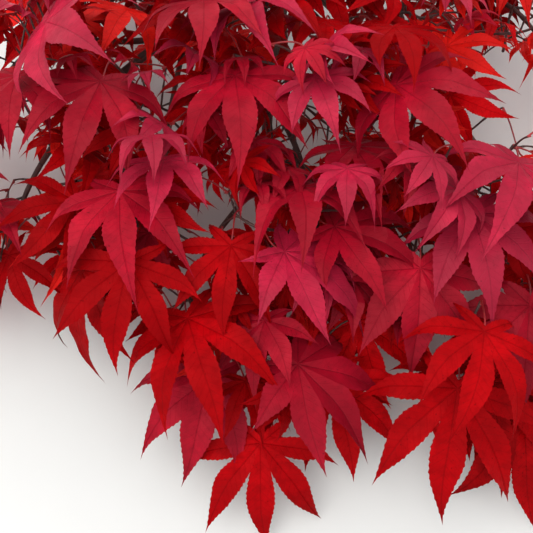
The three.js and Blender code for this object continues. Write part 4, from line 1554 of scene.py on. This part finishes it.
def limb_mesh(name, bough, relief, steps, sides):
    """A tapering limb: a grid wrapped round its path, ridged, with closed ends."""
    bm = bmesh.new()
    bmesh.ops.create_grid(bm, x_segments=steps, y_segments=sides, size=0.5)
    coords = bm.loops.layers.uv.new("bark")
    girth = bm.verts.layers.float.new("girth")
    length = math.dist(bough.path.point(0), bough.path.point(1)) / 1000
    for face in bm.faces:
        for loop in face.loops:
            x, y, _ = loop.vert.co
            loop[coords].uv = ((x + 0.5) * length, (y + 0.5) * bough.start * ROUND)
    sections = list(ring_frames(bough.path, steps))
    for vert in bm.verts:
        t = vert.co.x + 0.5
        angle = 2 * math.pi * (vert.co.y + 0.5)
        middle, side, other = sections[round(t * steps)]
        radius = radius_at(bough, t)
        vert[girth] = radius / CUT_RADIUS
        ridge = Vector((2.2 * math.cos(angle), 2.2 * math.sin(angle), 9 * t * length * 10))
        lump = noise.noise(ridge) + 0.5 * noise.noise(ridge * 2.7)
        radius *= 1 + relief * lump
        if bough.parent:
            outside = max(0.0, t * length * 1000 - COLLAR_FROM * bough.joint)
            collar = math.exp(-outside / (COLLAR_FADE * bough.start + COLLAR_FADE_LEAST))
            radius *= 1 + COLLAR_SWELL * collar
            vert[girth] += collar * (bough.joint / CUT_RADIUS - vert[girth])
        place = middle + radius * (math.cos(angle) * side + math.sin(angle) * other)
        vert.co = laid(place)
    bmesh.ops.remove_doubles(bm, verts=bm.verts[:], dist=SAME_PLACE)
    ends = [edge for edge in bm.edges if edge.is_boundary]
    caps = bmesh.ops.holes_fill(bm, edges=ends, sides=0)["faces"]
    if bough.parent is None:
        finish_cut_face(bm, caps, coords)
    bmesh.ops.recalc_face_normals(bm, faces=bm.faces[:])
    mesh = bpy.data.meshes.new(name)
    bm.to_mesh(mesh)
    bm.free()
    mesh.shade_smooth()
    mesh.set_sharp_from_angle(angle=BARK_TURN)
    return mesh


def finish_cut_face(bm, caps, coords):
    """The flat cut: a rim of bark round a face of fresh wood."""
    start = Vector(laid(vec(*CUT_END)))
    face = min(caps, key=lambda cap: (cap.calc_center_median() - start).length)
    bmesh.ops.inset_region(bm, faces=[face], thickness=BARK_RIM, depth=0.0)
    face.material_index = 1
    side = face.normal.orthogonal().normalized()
    other = face.normal.cross(side)
    for loop in face.loops:
        spoke = loop.vert.co - start
        loop[coords].uv = (spoke.dot(side), spoke.dot(other))


def add_limb(context, name, grid):
    """A bough or limb as a piece of its own. The one that was cut has a cut face."""
    bough = grown_branch().boughs[name]
    mesh = limb_mesh(f"{name}_bark", bough, context.scene.maple_plant.relief, **grid)
    finishes = ("bark",) if bough.parent else ("bark", "cut_wood")
    add_piece(f"{name}_bark", mesh, finishes, "bark", [name])


def add_joined(name, parts, crease, finish, slot):
    """Parts of one kind as one piece, which stands for all the masses of foliage."""
    foliage = [node for node in NODES if node.endswith("_foliage")]
    add_piece(name, joined_mesh(name, parts, crease), (finish,), slot, foliage)


# Operators: one for each group of pieces, and one for the stage


class MAPLE_OT_boughs(bpy.types.Operator):
    """Add the long bough with its cut face and the two side boughs"""

    bl_idname = "maple.boughs"
    bl_label = "Boughs"

    def execute(self, context):
        for name in ("long_bough", "left_bough", "right_bough"):
            add_limb(context, name, BOUGH_GRID)
        return {"FINISHED"}


class MAPLE_OT_limbs(bpy.types.Operator):
    """Add the short limbs that carry the masses of foliage"""

    bl_idname = "maple.limbs"
    bl_label = "Limbs"

    def execute(self, context):
        for name in grown_branch().boughs:
            if name.endswith("_limb"):
                add_limb(context, name, LIMB_GRID)
        return {"FINISHED"}


class MAPLE_OT_twigs(bpy.types.Operator):
    """Add the stems, shoots, spurs and finer twigs, with a bud beside each stalk"""

    bl_idname = "maple.twigs"
    bl_label = "Twigs and buds"

    def execute(self, context):
        parts = []
        for mass in grown_branch().masses:
            random = seeded(6000 + mass.index)
            parts += [twig_part(twig, random) for twig in mass.twigs + mass.fine_twigs]
        add_joined("twigs", parts, SMOOTH_TURN, "young_bark", "bark")
        add_joined("buds", bud_parts(), SMOOTH_TURN, "stalk", "leaf_maroon")
        return {"FINISHED"}


class MAPLE_OT_stalks(bpy.types.Operator):
    """Add the leaf stalks"""

    bl_idname = "maple.stalks"
    bl_label = "Stalks"

    def execute(self, context):
        radius = context.scene.maple_plant.stalk_radius * 1000
        parts = [
            stalk_part(path, radius)
            for mass in grown_branch().masses
            for path in mass.stalks + mass.fine_stalks
        ]
        add_joined("stalks", parts, SMOOTH_TURN, "stalk", "leaf_maroon")
        return {"FINISHED"}


MOST_TRIANGLES = 190000  # in one piece
BLADE_TURN = math.radians(17)  # a blade is smooth over any lesser turn


class MAPLE_OT_leaves(bpy.types.Operator):
    """Add the leaves, joined by tint into pieces"""

    bl_idname = "maple.leaves"
    bl_label = "Leaves"

    def execute(self, context):
        for tint, parts in leaves_by_tint().items():
            total = sum(len(part[1]) for part in parts)
            pieces = max(1, math.ceil(total / MOST_TRIANGLES))
            for k in range(pieces):
                name, finish = f"{tint}_leaves_{k + 1}", f"leaf_{tint}"
                add_joined(name, parts[k::pieces], BLADE_TURN, finish, SLOTS.get(tint, finish))
        return {"FINISHED"}


# Each soft light: the way to it in the hanging frame, how far off it is, how wide, its colour
Light = namedtuple("Light", "name way away size colour")
SKY_LIGHT = Light("sky_light", (0, 1, 0.35), 1.9, 2.4, (0.93, 0.96, 1.0))
FRONT_LIGHT = Light("front_light", (-0.35, 0.25, 1), 2.2, 1.8, (1.0, 0.98, 0.95))
ROOM_COLOUR = (0.94, 0.96, 1.0, 1)
FLOOR_HALF = 8


class MAPLE_OT_stage(bpy.types.Operator):
    """Add the pale floor, the soft lights and the camera"""

    bl_idname = "maple.stage"
    bl_label = "Stage"

    def execute(self, context):
        stage = context.scene.maple_stage
        bm = bmesh.new()
        bmesh.ops.create_grid(bm, x_segments=1, y_segments=1, size=FLOOR_HALF)
        mesh = bpy.data.meshes.new("floor")
        bm.to_mesh(mesh)
        bm.free()
        floor = bpy.data.objects.new("floor", mesh)
        mesh.materials.append(floor_finish("floor", stage.floor))
        context.collection.objects.link(floor)
        self.add_light(context, SKY_LIGHT, stage.sky_power)
        self.add_light(context, FRONT_LIGHT, stage.front_power)
        self.add_room(context, stage.room)
        self.add_camera(context, stage.focal)
        return {"FINISHED"}

    def add_light(self, context, spec, power):
        data = bpy.data.lights.new(spec.name, "AREA")
        data.shape = "DISK"
        data.size = spec.size
        data.energy = power
        data.color = spec.colour
        light = bpy.data.objects.new(spec.name, data)
        place = LAY @ unit(vec(*spec.way)) * spec.away
        light.location = place
        light.rotation_euler = Vector(place).to_track_quat("Z", "Y").to_euler()
        light.visible_camera = False
        context.collection.objects.link(light)

    def add_room(self, context, strength):
        world = bpy.data.worlds.new("room")
        world.use_nodes = True
        background = world.node_tree.nodes["Background"]
        background.inputs["Color"].default_value = ROOM_COLOUR
        background.inputs["Strength"].default_value = strength
        context.scene.world = world

    def add_camera(self, context, focal):
        data = bpy.data.cameras.new("camera")
        data.lens = focal
        data.clip_start = 0.01
        camera = bpy.data.objects.new("camera", data)
        camera.location = laid(vec(0, 0, SIGHT))
        camera.rotation_euler = (LIE_TILT, 0, 0)
        context.collection.objects.link(camera)
        context.scene.camera = camera
        context.scene.view_settings.view_transform = "Standard"


class MAPLE_PT_branch(bpy.types.Panel):
    """The branch's pieces and settings"""

    bl_idname = "MAPLE_PT_branch"
    bl_label = "Maple branch"
    bl_space_type = "VIEW_3D"
    bl_region_type = "UI"
    bl_category = "Maple"

    def draw(self, context):
        for operator in OPERATORS:
            self.layout.operator(operator.bl_idname)
        for settings in (context.scene.maple_plant, context.scene.maple_stage):
            column = self.layout.column()
            for key in settings.__annotations__:
                column.prop(settings, key)


OPERATORS = (
    MAPLE_OT_boughs,
    MAPLE_OT_limbs,
    MAPLE_OT_twigs,
    MAPLE_OT_stalks,
    MAPLE_OT_leaves,
    MAPLE_OT_stage,
)
CLASSES = (MaplePlantSettings, MapleStageSettings, *OPERATORS, MAPLE_PT_branch)


def register():
    for cls in CLASSES:
        bpy.utils.register_class(cls)
    bpy.types.Scene.maple_plant = PointerProperty(type=MaplePlantSettings)
    bpy.types.Scene.maple_stage = PointerProperty(type=MapleStageSettings)


def unregister():
    del bpy.types.Scene.maple_stage
    del bpy.types.Scene.maple_plant
    for cls in reversed(CLASSES):
        bpy.utils.unregister_class(cls)


def main():
    register()
    bpy.ops.maple.boughs()
    bpy.ops.maple.limbs()
    bpy.ops.maple.twigs()
    bpy.ops.maple.stalks()
    bpy.ops.maple.leaves()
    bpy.ops.maple.stage()


if __name__ == "__main__":
    main()
